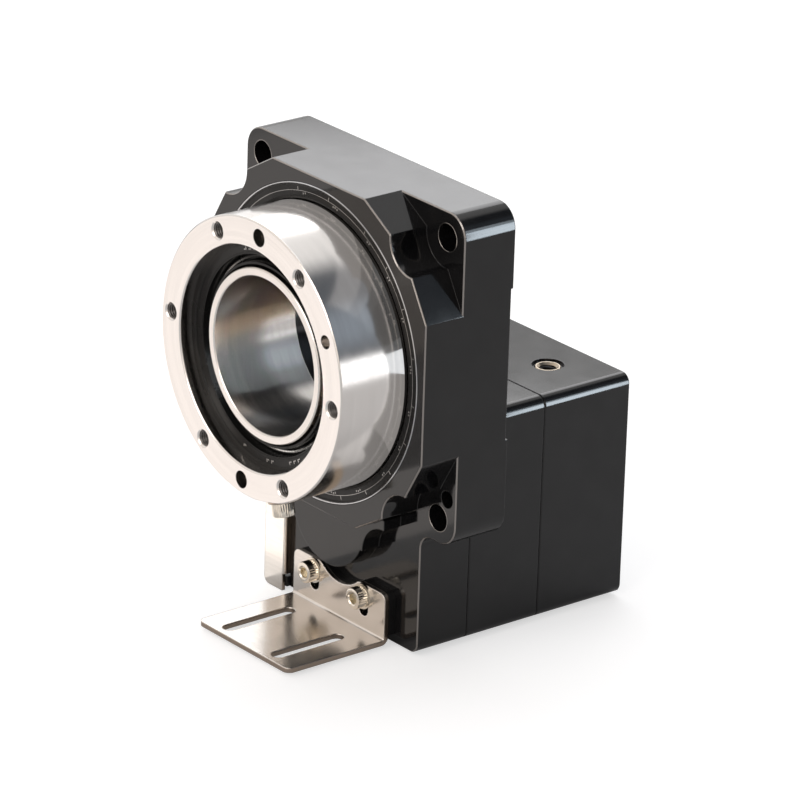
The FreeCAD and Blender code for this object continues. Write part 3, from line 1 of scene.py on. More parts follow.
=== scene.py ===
# %% [markdown]
# # Hollow rotary platform
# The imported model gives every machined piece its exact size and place. This lesson dresses it:
# the camera and studio, the finishes, and the small parts that make it look made, such as
# knurled screw heads, thread turns, the marks on the seals and the coils of the seal spring.

# %% The frame
import bpy
import bmesh
import json
import math
from mathutils import Matrix, Vector


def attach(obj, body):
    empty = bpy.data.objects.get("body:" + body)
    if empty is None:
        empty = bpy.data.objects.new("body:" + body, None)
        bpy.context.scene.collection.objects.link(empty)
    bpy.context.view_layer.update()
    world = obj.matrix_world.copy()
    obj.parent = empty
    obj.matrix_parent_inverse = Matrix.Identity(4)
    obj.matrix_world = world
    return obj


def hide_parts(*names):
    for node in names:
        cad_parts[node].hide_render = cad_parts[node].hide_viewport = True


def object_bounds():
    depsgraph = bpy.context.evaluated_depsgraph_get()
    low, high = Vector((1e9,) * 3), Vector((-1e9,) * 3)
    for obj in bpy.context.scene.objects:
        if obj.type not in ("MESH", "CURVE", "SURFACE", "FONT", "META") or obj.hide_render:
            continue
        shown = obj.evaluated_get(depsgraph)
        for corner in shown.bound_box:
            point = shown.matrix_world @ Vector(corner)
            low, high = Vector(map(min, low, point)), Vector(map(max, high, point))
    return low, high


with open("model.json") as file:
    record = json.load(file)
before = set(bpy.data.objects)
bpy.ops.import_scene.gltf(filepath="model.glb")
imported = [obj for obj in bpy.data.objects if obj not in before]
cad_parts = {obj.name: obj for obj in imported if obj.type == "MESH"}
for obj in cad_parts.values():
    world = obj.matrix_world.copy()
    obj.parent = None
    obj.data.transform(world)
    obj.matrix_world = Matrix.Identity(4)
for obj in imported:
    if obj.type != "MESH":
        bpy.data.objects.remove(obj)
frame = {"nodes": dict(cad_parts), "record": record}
cad_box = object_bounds()
nodes = frame["nodes"]
scene = bpy.context.scene
print("nodes in the frame:", len(nodes))


def deselect_all():
    bpy.ops.object.select_all(action="DESELECT")


deselect_all()

# %% [markdown]
# ## Camera
# The photograph looks down at the part from its right front, about 22 degrees above level, from
# two metres away with a long lens. The place and lens were worked out from the square housing
# and the round ring, so one camera object with a fixed lens is enough.

# %% Camera
CAMERA_PLACE = Vector((1.53818, -1.23437, 0.76200))
CAMERA_FORWARD = Vector((-0.71849, 0.58836, -0.37095)).normalized()
CAMERA_UP = Vector((-0.30683, 0.21052, 0.92819)).normalized()
LENS = 255.6
SENSOR = 36.0


def look_matrix(place, forward, up):
    side = forward.cross(up).normalized()
    top = side.cross(forward).normalized()
    turn = Matrix((side, top, -forward)).transposed().to_4x4()
    return Matrix.Translation(place) @ turn


camera_data = bpy.data.cameras.new("studio_camera")
camera_data.lens = LENS
camera_data.sensor_width = SENSOR
camera_data.clip_end = 20.0
camera = bpy.data.objects.new("studio_camera", camera_data)
scene.collection.objects.link(camera)
camera.matrix_world = look_matrix(CAMERA_PLACE, CAMERA_FORWARD, CAMERA_UP)
scene.camera = camera
scene.view_settings.view_transform = "Standard"
print("camera distance", round(CAMERA_PLACE.length, 3))

# %% [markdown]
# ## Node helpers
# Every finish is a node tree. These helpers keep each material to a few readable lines. They add
# and join nodes, do sums, blend colours, and give a point's place and facing in the object's own
# directions.

# %% Node helpers
def add_node(tree, kind, **values):
    node = tree.nodes.new(kind)
    for name, setting in values.items():
        if name in node.inputs:
            node.inputs[name].default_value = setting
        else:
            setattr(node, name, setting)
    return node


def join(tree, start, end):
    tree.links.new(start, end)


def math_node(tree, operation, first, second=0.0, clamp=False):
    node = tree.nodes.new("ShaderNodeMath")
    node.operation = operation
    node.use_clamp = clamp
    for socket, source in zip(node.inputs, (first, second)):
        if isinstance(source, (int, float)):
            socket.default_value = source
        else:
            join(tree, source, socket)
    return node.outputs[0]


def span(tree, source, low, high, to_low=0.0, to_high=1.0):
    node = tree.nodes.new("ShaderNodeMapRange")
    join(tree, source, node.inputs["Value"])
    node.inputs["From Min"].default_value = low
    node.inputs["From Max"].default_value = high
    node.inputs["To Min"].default_value = to_low
    node.inputs["To Max"].default_value = to_high
    return node.outputs["Result"]


def object_place(tree):
    place = tree.nodes.new("ShaderNodeTexCoord")
    split = tree.nodes.new("ShaderNodeSeparateXYZ")
    join(tree, place.outputs["Object"], split.inputs[0])
    return split.outputs


def object_facing(tree, normal):
    turn = add_node(tree, "ShaderNodeVectorTransform", vector_type="NORMAL", convert_from="WORLD",
                    convert_to="OBJECT")
    join(tree, normal, turn.inputs[0])
    split = tree.nodes.new("ShaderNodeSeparateXYZ")
    join(tree, turn.outputs[0], split.inputs[0])
    return split.outputs


def blend_colour(tree, factor, first, second):
    node = tree.nodes.new("ShaderNodeMix")
    node.data_type = "RGBA"
    sockets = {"Factor": factor, "A": first, "B": second}
    for socket in node.inputs:
        if not socket.enabled or socket.name not in sockets:
            continue
        source = sockets[socket.name]
        if isinstance(source, tuple):
            socket.default_value = source + (1.0,)
        elif isinstance(source, (int, float)):
            socket.default_value = source
        else:
            join(tree, source, socket)
    return [out for out in node.outputs if out.enabled][0]


# %% [markdown]
# ## Turned grain
# A lathe leaves fine circles on steel. The group turns Object coordinates into radius and depth
# about the table axis and stretches noise along the circles. The way round the circle enters as
# its sine and cosine, in 4D noise, so the pattern closes on itself with no seam. One group
# serves the ring and the sleeve, each with its own strength.

# %% Turned grain group
def new_group(name, inputs, outputs):
    tree = bpy.data.node_groups.new(name, "ShaderNodeTree")
    for label, start in inputs:
        socket = tree.interface.new_socket(label, in_out="INPUT", socket_type="NodeSocketFloat")
        socket.default_value = start
    for label in outputs:
        tree.interface.new_socket(label, in_out="OUTPUT", socket_type="NodeSocketFloat")
    return tree, tree.nodes.new("NodeGroupInput"), tree.nodes.new("NodeGroupOutput")


def make_turned_grain():
    tree, entry, leave = new_group("turned_grain", [("Fine", 5200.0), ("Broad", 420.0)],
                                   ["Grain", "Cloud"])
    x, y, z = object_place(tree)
    radius = math_node(tree, "SQRT", math_node(tree, "ADD", math_node(tree, "MULTIPLY", x, x),
                                              math_node(tree, "MULTIPLY", z, z)))
    across = math_node(tree, "DIVIDE", x, radius)
    upward = math_node(tree, "DIVIDE", z, radius)
    for scale_name, turn, output in (("Fine", 1.6, "Grain"), ("Broad", 0.9, "Cloud")):
        gather = tree.nodes.new("ShaderNodeCombineXYZ")
        scale = entry.outputs[scale_name]
        join(tree, math_node(tree, "MULTIPLY", radius, scale), gather.inputs[0])
        join(tree, math_node(tree, "MULTIPLY", y, scale), gather.inputs[1])
        join(tree, math_node(tree, "MULTIPLY", across, turn), gather.inputs[2])
        noise = add_node(tree, "ShaderNodeTexNoise", noise_dimensions="4D", Scale=1.0, Detail=3.0)
        join(tree, gather.outputs[0], noise.inputs["Vector"])
        join(tree, math_node(tree, "MULTIPLY", upward, turn), noise.inputs["W"])
        join(tree, noise.outputs["Fac"], leave.inputs[output])
    return tree


TURNED_GRAIN = make_turned_grain()

# %% [markdown]
# ## Sheet grain
# Rolled stainless sheet shows fine straight lines and soft cloudy patches. The same idea with
# straight coordinates: noise that is long in X and fine in Y and Z.

# %% Sheet grain group
def make_sheet_grain():
    tree, entry, leave = new_group("sheet_grain", [("Fine", 2200.0), ("Along", 60.0)],
                                   ["Grain", "Cloud"])
    x, y, z = object_place(tree)
    fine = tree.nodes.new("ShaderNodeCombineXYZ")
    join(tree, math_node(tree, "MULTIPLY", x, entry.outputs["Along"]), fine.inputs[0])
    join(tree, math_node(tree, "MULTIPLY", y, entry.outputs["Fine"]), fine.inputs[1])
    join(tree, math_node(tree, "MULTIPLY", z, entry.outputs["Fine"]), fine.inputs[2])
    noise = add_node(tree, "ShaderNodeTexNoise", Scale=1.0, Detail=3.0)
    join(tree, fine.outputs[0], noise.inputs["Vector"])
    join(tree, noise.outputs["Fac"], leave.inputs["Grain"])
    place = tree.nodes.new("ShaderNodeTexCoord")
    cloud = add_node(tree, "ShaderNodeTexNoise", Scale=70.0, Detail=2.0)
    join(tree, place.outputs["Object"], cloud.inputs["Vector"])
    join(tree, cloud.outputs["Fac"], leave.inputs["Cloud"])
    return tree


SHEET_GRAIN = make_sheet_grain()

# %% [markdown]
# ## Surface dust and specks
# Anodised, rubber and plated parts are never quite even. A small group gives a fine speck mask
# and a soft unevenness that the materials use for roughness and a very light bump. A Bevel node
# under the bump rounds the shading at edges, so that they catch a soft line of light.

# %% Speck group
def make_speck():
    tree, entry, leave = new_group("speck", [("Fine", 5200.0), ("Broad", 90.0)], ["Speck", "Cloud"])
    place = tree.nodes.new("ShaderNodeTexCoord")
    for scale_name, output, detail in (("Fine", "Speck", 2.0), ("Broad", "Cloud", 3.0)):
        noise = add_node(tree, "ShaderNodeTexNoise", Detail=detail)
        join(tree, place.outputs["Object"], noise.inputs["Vector"])
        join(tree, entry.outputs[scale_name], noise.inputs["Scale"])
        join(tree, noise.outputs["Fac"], leave.inputs[output])
    return tree


SPECK = make_speck()


def use_group(tree, group, **values):
    node = tree.nodes.new("ShaderNodeGroup")
    node.node_tree = group
    for name, setting in values.items():
        node.inputs[name].default_value = setting
    return node


def new_finish(name, colour, metallic, roughness, **sockets):
    finish = bpy.data.materials.new(name)
    finish.use_nodes = True
    tree = finish.node_tree
    shader = tree.nodes["Principled BSDF"]
    shader.inputs["Base Color"].default_value = colour + (1.0,)
    shader.inputs["Metallic"].default_value = metallic
    shader.inputs["Roughness"].default_value = roughness
    for label, setting in sockets.items():
        shader.inputs[label.replace("_", " ")].default_value = setting
    return finish, tree, shader


def add_bump(tree, shader, height, strength, distance=0.0001):
    bump = add_node(tree, "ShaderNodeBump", Strength=strength, Distance=distance)
    join(tree, height, bump.inputs["Height"])
    join(tree, bump.outputs["Normal"], shader.inputs["Normal"])
    return bump


def soft_edge(tree, bump, radius):
    rounded = add_node(tree, "ShaderNodeBevel", samples=6, Radius=radius)
    join(tree, rounded.outputs["Normal"], bump.inputs["Normal"])


# %% [markdown]
# ## Black anodised aluminium
# The housing and blocks are machined, then hard anodised to a deep gloss black. The broken
# edges at the front take a pale metal colour, a painted highlight for the thin pale lines of light
# on them. Every broken edge is a face at 45 degrees to Y, so the normal's Y share finds them. The
# joints between the blocks stay dark, so the mask ends a little way behind the front faces.

# %% Black anodised
FRONT_EDGES = 0.012
EDGE_FADE = 0.001
DIAGONAL = 0.7071
# Pale metal colour on the front broken edges: a painted highlight.
PAINTED_EDGE_HIGHLIGHT = (0.31, 0.29, 0.275)
DEEP_BLACK = (0.0035, 0.0035, 0.004)
SOFT_BLACK = (0.007, 0.0068, 0.0072)


def edge_mask(tree):
    shape = tree.nodes.new("ShaderNodeNewGeometry")
    facing = object_facing(tree, shape.outputs["True Normal"])
    depth = math_node(tree, "ABSOLUTE", facing[1])
    away = math_node(tree, "ABSOLUTE", math_node(tree, "SUBTRACT", depth, DIAGONAL))
    front = span(tree, object_place(tree)[1], FRONT_EDGES, FRONT_EDGES - EDGE_FADE)
    return math_node(tree, "MULTIPLY", span(tree, away, 0.12, 0.05), front)


def make_anodised():
    finish, tree, shader = new_finish("black_anodised", (0.005, 0.005, 0.0055), 0.0, 0.09, IOR=1.5)
    speck = use_group(tree, SPECK)
    edge = edge_mask(tree)
    colour = blend_colour(tree, span(tree, speck.outputs["Cloud"], 0.35, 0.7), DEEP_BLACK, SOFT_BLACK)
    join(tree, blend_colour(tree, edge, colour, PAINTED_EDGE_HIGHLIGHT), shader.inputs["Base Color"])
    join(tree, math_node(tree, "MULTIPLY", edge, 0.85), shader.inputs["Metallic"])
    join(tree, span(tree, speck.outputs["Cloud"], 0.3, 0.7, 0.075, 0.105), shader.inputs["Roughness"])
    soft_edge(tree, add_bump(tree, shader, speck.outputs["Speck"], 0.025, 0.00002), 0.0005)
    return finish


# %% [markdown]
# ## Turned steel
# Ring and sleeve are bare steel. Anisotropy stretches highlights across the lathe lines, and
# the grain group moves roughness and colour a little from line to line.

# %% Turned steel
LINE_SHARE = 0.35
CLOUD_SHARE = 0.65


def make_turned(name, pale, dark, low, high, anisotropy):
    finish, tree, shader = new_finish(name, pale, 1.0, low, Anisotropic=anisotropy)
    grain = use_group(tree, TURNED_GRAIN)
    line = span(tree, grain.outputs["Grain"], 0.25, 0.75)
    cloud = span(tree, grain.outputs["Cloud"], 0.3, 0.7)
    mixed = math_node(tree, "ADD", math_node(tree, "MULTIPLY", line, LINE_SHARE),
                      math_node(tree, "MULTIPLY", cloud, CLOUD_SHARE))
    join(tree, blend_colour(tree, mixed, dark, pale), shader.inputs["Base Color"])
    join(tree, span(tree, mixed, 0.0, 1.0, high, low), shader.inputs["Roughness"])
    tangent = add_node(tree, "ShaderNodeTangent", direction_type="RADIAL", axis="Y")
    join(tree, tangent.outputs[0], shader.inputs["Tangent"])
    soft_edge(tree, add_bump(tree, shader, grain.outputs["Grain"], 0.05, 0.000012), 0.0004)
    return finish


# %% [markdown]
# ## Sheet steel
# Bracket, side plate and flag are cut from sheet. Their cut edges are darker and warmer than the
# rolled faces. The mask takes the faces of the shelf that don't look up or down, in front of the
# bend, and all faces that look sideways.

# %% Sheet steel
UPRIGHT_FRONT = -0.0052
BEND_REACH = 0.0016
CUT_STEEL = (0.43, 0.35, 0.285)


def cut_edge_mask(tree):
    shape = add_node(tree, "ShaderNodeBevel", samples=6, Radius=0.0006)
    facing = object_facing(tree, shape.outputs["Normal"])
    shelf = math_node(tree, "LESS_THAN", object_place(tree)[1], UPRIGHT_FRONT - BEND_REACH)
    flat = span(tree, math_node(tree, "ABSOLUTE", facing[2]), 0.35, 0.15)
    aside = span(tree, math_node(tree, "ABSOLUTE", facing[0]), 0.75, 0.95)
    return math_node(tree, "MAXIMUM", math_node(tree, "MULTIPLY", shelf, flat), aside)


def make_sheet(name, pale, dark, low, high):
    finish, tree, shader = new_finish(name, pale, 1.0, low)
    cut = cut_edge_mask(tree)
    grain = use_group(tree, SHEET_GRAIN)
    line = span(tree, grain.outputs["Grain"], 0.3, 0.7)
    cloud = span(tree, grain.outputs["Cloud"], 0.35, 0.65)
    mixed = math_node(tree, "MULTIPLY", math_node(tree, "ADD", line, cloud), 0.5)
    colour = blend_colour(tree, mixed, dark, pale)
    join(tree, blend_colour(tree, cut, colour, CUT_STEEL), shader.inputs["Base Color"])
    join(tree, span(tree, mixed, 0.0, 1.0, high, low), shader.inputs["Roughness"])
    soft_edge(tree, add_bump(tree, shader, grain.outputs["Grain"], 0.10, 0.00002), 0.0008)
    return finish


# %% [markdown]
# ## Plain finishes
# Screws, seals, springs and gears share one recipe: a cloud moves colour and roughness a little,
# and specks give a light bump. Then each node of the frame takes the finish that its row in the
# record names.

# %% Plain finishes
SHADED = 0.78
ROUGHER = 1.25
SMOOTHER = 0.85


def make_plain(name, colour, metallic, roughness, bump=0.06, fine=5200.0, **sockets):
    finish, tree, shader = new_finish(name, colour, metallic, roughness, **sockets)
    speck = use_group(tree, SPECK, Fine=fine)
    shade = tuple(channel * SHADED for channel in colour)
    cloud = span(tree, speck.outputs["Cloud"], 0.3, 0.7)
    join(tree, blend_colour(tree, cloud, shade, colour), shader.inputs["Base Color"])
    join(tree, span(tree, speck.outputs["Cloud"], 0.3, 0.7, roughness * ROUGHER, roughness * SMOOTHER),
         shader.inputs["Roughness"])
    add_bump(tree, shader, speck.outputs["Speck"], bump, 0.00005)
    return finish


finishes = {
    "black_anodised": make_anodised(),
    "table_steel": make_turned("table_steel", (0.83, 0.80, 0.775), (0.75, 0.72, 0.695), 0.13, 0.19, 0.5),
    "sleeve_steel": make_turned("sleeve_steel", (0.80, 0.77, 0.74), (0.68, 0.65, 0.62), 0.15, 0.22, 0.5),
    "sheet_steel": make_sheet("sheet_steel", (0.76, 0.72, 0.68), (0.66, 0.62, 0.575), 0.16, 0.26),
    "bearing_steel": make_plain("bearing_steel", (0.62, 0.62, 0.62), 1.0, 0.16),
    "gear_steel": make_plain("gear_steel", (0.42, 0.42, 0.43), 1.0, 0.3),
    "seal_rubber": make_plain("seal_rubber", (0.006, 0.0058, 0.0055), 0.0, 0.24, 0.10, 3400.0,
                              Specular_IOR_Level=0.20),
    "spring_steel": make_plain("spring_steel", (0.52, 0.51, 0.5), 1.0, 0.24),
    "nickel_screw": make_plain("nickel_screw", (0.80, 0.745, 0.66), 1.0, 0.16),
    # Dark steel for the ring's thread turns: painted shade inside the tapped holes.
    "thread_steel": make_plain("thread_steel", (0.17, 0.16, 0.155), 1.0, 0.24),
    # Pale metal for the ear hole rims: a painted highlight.
    "worn_edge": make_plain("worn_edge", (0.34, 0.32, 0.30), 1.0, 0.22),
    "bush_metal": make_plain("bush_metal", (0.60, 0.51, 0.40), 1.0, 0.2),
    "gilt_socket": make_plain("gilt_socket", (0.82, 0.75, 0.62), 1.0, 0.2),
    "seal_case": make_plain("seal_case", (0.60, 0.61, 0.63), 1.0, 0.14),
    "seal_marks": make_plain("seal_marks", (0.46, 0.45, 0.44), 0.9, 0.22),
    "black_screw": make_plain("black_screw", (0.035, 0.034, 0.034), 0.4, 0.36),
    "black_spacer": make_plain("black_spacer", (0.006, 0.006, 0.0065), 0.0, 0.36),
    "bronze_cage": make_plain("bronze_cage", (0.6, 0.43, 0.22), 1.0, 0.3),
}

slot_of = {row["node"]: row["material_slot"] for row in frame["record"]["subparts"]}
for node_name, node_object in nodes.items():
    node_object.data.materials.clear()
    node_object.data.materials.append(finishes[slot_of[node_name]])
print("finishes:", len(finishes))

# %% [markdown]
# ## Modelling helpers
# Most small parts here are turned on a lathe. Each profile starts as one point, is drawn by
# extruding that point step by step, and is spun about Y into a closed shape. A thread is a small
# wedge wound by the Screw modifier, with its ends filled. Every piece is made at the centre and
# then set down, with its place applied to its mesh. A repeated piece is made once and copied.
# Sizes of small parts are in millimetres.

# %% Modelling helpers
MM = 0.001
MERGE = 0.000001
SMOOTH_ANGLE = math.radians(32.0)
ORIGIN = (0.0, 0.0, 0.0)
FOOT_HALF = 0.40
CREST_HALF = 0.07


def start_point(name, radius, depth):
    deselect_all()
    bpy.ops.mesh.primitive_plane_add(size=MM)
    piece = bpy.context.object
    piece.name = name
    bpy.ops.object.mode_set(mode="EDIT")
    bpy.ops.mesh.select_all(action="SELECT")
    bpy.ops.mesh.merge(type="CENTER")
    bpy.ops.transform.translate(value=(radius * MM, depth * MM, 0.0))
    return piece


def draw_profile(points):
    for here, there in zip(points, points[1:]):
        step = ((there[0] - here[0]) * MM, (there[1] - here[1]) * MM, 0.0)
        bpy.ops.mesh.extrude_region_move(TRANSFORM_OT_translate={"value": step})


def close_shape():
    bpy.ops.mesh.select_all(action="SELECT")
    bpy.ops.mesh.remove_doubles(threshold=MERGE)
    bpy.ops.mesh.normals_make_consistent(inside=False)
    bpy.ops.object.mode_set(mode="OBJECT")


def turned_piece(name, points, steps):
    piece = start_point(name, *points[0])
    draw_profile(points)
    bpy.ops.mesh.select_all(action="SELECT")
    bpy.ops.mesh.spin(steps=steps, angle=math.tau, center=ORIGIN, axis=(0.0, 1.0, 0.0))
    close_shape()
    return piece


def fill_ends():
    bpy.ops.object.mode_set(mode="EDIT")
    bpy.ops.mesh.select_all(action="SELECT")
    bpy.ops.mesh.remove_doubles(threshold=MERGE)
    bpy.ops.mesh.fill_holes(sides=4)
    close_shape()


def pick(piece):
    deselect_all()
    piece.select_set(True)
    bpy.context.view_layer.objects.active = piece


def apply_modifier(piece, modifier):
    pick(piece)
    bpy.ops.object.modifier_apply(modifier=modifier.name)


def wound_thread(name, root, crest, pitch, turns, steps):
    foot, tip = FOOT_HALF * pitch, CREST_HALF * pitch
    wedge = [(root, -foot), (crest, -tip), (crest, tip), (root, foot), (root, -foot)]
    piece = start_point(name, *wedge[0])
    draw_profile(wedge)
    bpy.ops.mesh.select_all(action="SELECT")
    bpy.ops.mesh.remove_doubles(threshold=MERGE)
    bpy.ops.object.mode_set(mode="OBJECT")
    wind = piece.modifiers.new("wind", "SCREW")
    wind.axis = "Y"
    wind.screw_offset = pitch * MM
    wind.iterations = turns
    wind.steps = steps
    wind.render_steps = steps
    apply_modifier(piece, wind)
    fill_ends()
    return piece


def set_down(piece, place, turn=(0.0, 0.0, 0.0)):
    pick(piece)
    piece.location = [share * MM for share in place]
    piece.rotation_euler = turn
    bpy.ops.object.transform_apply(location=True, rotation=True, scale=True)


def copy_of(piece, name):
    twin = piece.copy()
    twin.data = piece.data.copy()
    twin.name = name
    scene.collection.objects.link(twin)
    return twin


def repeats_of(first, count):
    stem = first.name[:-1]
    return [copy_of(first, stem + str(index)) for index in range(2, count + 1)] + [first]


def dress(piece, finish, body):
    if not piece.data.materials:
        piece.data.materials.append(finishes[finish])
    pick(piece)
    bpy.ops.object.shade_smooth_by_angle(angle=SMOOTH_ANGLE)
    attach(piece, body)


# %% [markdown]
# ## Socket head cap screws
# The bracket is held by two nickel plated cap screws with knurled heads and gold toned sockets.
# The profile is drawn in three runs: the crown with its dished socket rim, the skirt of the
# knurl, and the stem. They are spun as one. Every second column of points on the head moves in
# a little, which leaves the flutes. A six sided bar cuts the socket, and the cut faces take the
# bar's own finish.

# %% Cap screw
SOCKET_ANGLE = math.radians(30.0)
TOUCH = 0.01
DISH_SHARE = 0.68
DISH_DEPTH = 0.4
CROWN_TALL = 0.6
SKIRT_END = -0.55
SOCKET_SHARE = 0.55


def knurl(piece, radius, low, high, flutes, depth):
    bpy.ops.object.mode_set(mode="EDIT")
    bpy.ops.mesh.select_all(action="DESELECT")
    shape = bmesh.from_edit_mesh(piece.data)
    for point in shape.verts:
        reach = math.hypot(point.co.x, point.co.z) / MM
        column = round(math.atan2(point.co.z, point.co.x) / math.tau * flutes * 2)
        inside = low - TOUCH <= point.co.y / MM <= high + TOUCH
        point.select = inside and abs(reach - radius) < TOUCH and column % 2 == 1
    bmesh.update_edit_mesh(piece.data)
    print(piece.name, "knurl points:", sum(point.select for point in shape.verts))
    share = 1.0 - depth / radius
    bpy.ops.transform.resize(value=(share, 1.0, share), center_override=ORIGIN)
    bpy.ops.object.mode_set(mode="OBJECT")


def sink_socket(piece, across, depth, top):
    deselect_all()
    bpy.ops.mesh.primitive_cylinder_add(vertices=6, radius=across / 2 / math.cos(SOCKET_ANGLE) * MM,
                                        depth=depth * 2 * MM, location=(0.0, top * MM, 0.0),
                                        rotation=(math.pi / 2, 0.0, 0.0))
    cutter = bpy.context.object
    cutter.data.materials.append(finishes["gilt_socket"])
    cut = piece.modifiers.new("socket", "BOOLEAN")
    cut.operation = "DIFFERENCE"
    cut.object = cutter
    cut.material_mode = "TRANSFER"
    apply_modifier(piece, cut)
    bpy.data.objects.remove(cutter)


def cap_screw(name, head, tall, shank, length, across, flutes, depth=0.34):
    top = -tall
    dish = across * DISH_SHARE
    crown = [(0.0, top + DISH_DEPTH), (dish - 0.45, top + DISH_DEPTH), (dish, top), (head - 0.6, top),
             (head - 0.2, top + 0.16), (head, top + CROWN_TALL)]
    skirt = [(head, SKIRT_END), (head - 0.3, -0.2), (head - 0.3, 0.0)]
    stem = [(shank, 0.0), (shank, length - 0.6), (shank - 0.6, length), (0.0, length)]
    piece = turned_piece(name, crown + skirt + stem, flutes * 2)
    knurl(piece, head, top + CROWN_TALL, SKIRT_END, flutes, depth)
    piece.data.materials.append(finishes["nickel_screw"])
    sink_socket(piece, across, tall * SOCKET_SHARE, top)
    return piece


BRACKET_SEAT = -6.0
BRACKET_LEVEL = -98.2
LEFT_SCREW, RIGHT_SCREW = -11.0, 19.0
bracket_screw = cap_screw("bracket_cap_screw_left", head=4.25, tall=4.5, shank=2.45, length=16.0,
                          across=4.0, flutes=28)
second_screw = copy_of(bracket_screw, "bracket_cap_screw_right")
for screw, place, turn in ((bracket_screw, LEFT_SCREW, 0.3), (second_screw, RIGHT_SCREW, 0.9)):
    set_down(screw, ORIGIN, (0.0, turn, 0.0))
    set_down(screw, (place, BRACKET_SEAT, BRACKET_LEVEL))
    dress(screw, "nickel_screw", "base")
    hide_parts("bracket_screws")
print("bracket screws, faces each:", len(bracket_screw.data.polygons))

# %% [markdown]
# ## Plate and flag screws
# Two smaller screws hold the side plate to the leg, with their heads to the left. The flag's
# screw is turned to point up, set below the ring, and then turned about the ring's axis to the
# flag's angle.

# %% Plate and flag screws
PLATE_SEAT = -33.7
PLATE_SCREW_DEPTH = 8.0
HIGH_LEVEL, LOW_LEVEL = -78.0, -98.0
plate_screw = cap_screw("plate_cap_screw_high", head=3.5, tall=3.9, shank=1.95, length=8.0,
                        across=3.0, flutes=32, depth=0.2)
low_screw = copy_of(plate_screw, "plate_cap_screw_low")
for screw, level in ((plate_screw, HIGH_LEVEL), (low_screw, LOW_LEVEL)):
    set_down(screw, (PLATE_SEAT, PLATE_SCREW_DEPTH, level), (0.0, 0.0, -math.pi / 2))
    dress(screw, "nickel_screw", "base")
    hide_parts("side_plate_screws")

FLAG_TURN = math.radians(76.4)
FLAG_SEAT = 55.1
FLAG_DEPTH = -40.0
flag_screw = cap_screw("flag_cap_screw", head=4.25, tall=5.4, shank=1.95, length=8.0,
                       across=3.0, flutes=30, depth=0.3)
set_down(flag_screw, ORIGIN, (math.pi / 2, 0.0, 0.0))
set_down(flag_screw, (0.0, FLAG_DEPTH, -FLAG_SEAT))
set_down(flag_screw, ORIGIN, (0.0, FLAG_TURN - math.pi / 2, 0.0))
dress(flag_screw, "nickel_screw", "table")
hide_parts("flag_screw")
print("flag screw low corner", [round(share, 4) for share in flag_screw.bound_box[0]])

# %% [markdown]
# ## Ear hole rims
# Each corner hole gets a thin rounded ring of pale metal at its edge, a painted highlight for the
# bright line round the hole. The ring, turned once and copied to the four ears, also catches the light.

# %% Ear hole rims
EAR_HOLE = 55.0
RIM_IN, RIM_OUT = 5.16, 5.6
RIM_SUNK, RIM_PROUD = 0.35, -0.05
rim_profile = [(RIM_IN, RIM_SUNK), (RIM_IN, 0.06), (5.28, RIM_PROUD), (5.46, RIM_PROUD),
               (RIM_OUT, 0.02), (RIM_OUT, RIM_SUNK), (RIM_IN, RIM_SUNK)]
first_rim = turned_piece("ear_hole_rim_1", rim_profile, 64)
rim_places = [(side, level) for side in (-EAR_HOLE, EAR_HOLE) for level in (-EAR_HOLE, EAR_HOLE)]
for rim, (side, level) in zip(repeats_of(first_rim, len(rim_places)), rim_places):
    set_down(rim, (side, 0.0, level))
    # The rim's pale metal is a painted highlight round the hole.
    dress(rim, "worn_edge", "base")
print("ear hole rims:", len(rim_places))

# %% [markdown]
# ## Access bush
# The threaded bush in the top of the motor block has a narrow bright land, a countersink and
# thread turns going down into the dark. It is turned on Y like the rest, then stood upright. Its
# thread turns take the near black screw finish: painted shade for the inside of the hole.

# %% Access bush
BUSH_PLACE = (19.8, 81.0, -24.25)
BUSH_IN, BUSH_OUT, BUSH_LONG = 3.35, 5.03, 12.0
SINK_DEPTH = 0.95
bush_profile = [(BUSH_IN, SINK_DEPTH), (4.15, 0.12), (4.25, 0.05), (4.75, 0.05), (BUSH_OUT, 0.32),
                (BUSH_OUT, BUSH_LONG), (BUSH_IN, BUSH_LONG), (BUSH_IN, SINK_DEPTH)]
bush = turned_piece("access_bush_turned", bush_profile, 64)
bush_thread = wound_thread("access_bush_thread", root=3.38, crest=2.9, pitch=1.0, turns=8, steps=28)
set_down(bush_thread, (0.0, 1.2, 0.0))
# The bush's thread turns in near black: painted shade inside the hole.
for part, finish in ((bush, "bush_metal"), (bush_thread, "black_screw")):
    set_down(part, ORIGIN, (-math.pi / 2, 0.0, 0.0))
    set_down(part, BUSH_PLACE)
    dress(part, finish, "base")
    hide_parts("access_bush")
print("bush top", round(max(corner[2] for corner in bush.bound_box), 5))

# %% [markdown]
# ## Shade block
# Behind the lower end of the side plate a small near black block fills the corner beside the leg:
# painted shade, a dark block put where the dark band of shade shows beside the plate. It is a
# block with bevelled edges that fills the corner under the plate's tab.

# %% Shade block
SHADE_BLOCK_LOW = (-43.9, -1.3, -114.2)
SHADE_BLOCK_HIGH = (-32.6, 13.6, -109.95)


def bevelled_block(name, low, high, width):
    deselect_all()
    bpy.ops.mesh.primitive_cube_add(size=MM)
    block = bpy.context.object
    block.name = name
    bpy.ops.object.mode_set(mode="EDIT")
    bpy.ops.mesh.select_all(action="SELECT")
    sides = [end - start for start, end in zip(low, high)]
    bpy.ops.transform.resize(value=sides, center_override=ORIGIN)
    bpy.ops.mesh.bevel(offset=width * MM, segments=2, affect="EDGES")
    bpy.ops.object.mode_set(mode="OBJECT")
    set_down(block, [(start + end) / 2 for start, end in zip(low, high)])
    return block


# A near black block standing in for the shade beside the side plate: painted shade.
shade_block = bevelled_block("leg_foot_block", SHADE_BLOCK_LOW, SHADE_BLOCK_HIGH, width=0.4)
dress(shade_block, "black_spacer", "base")
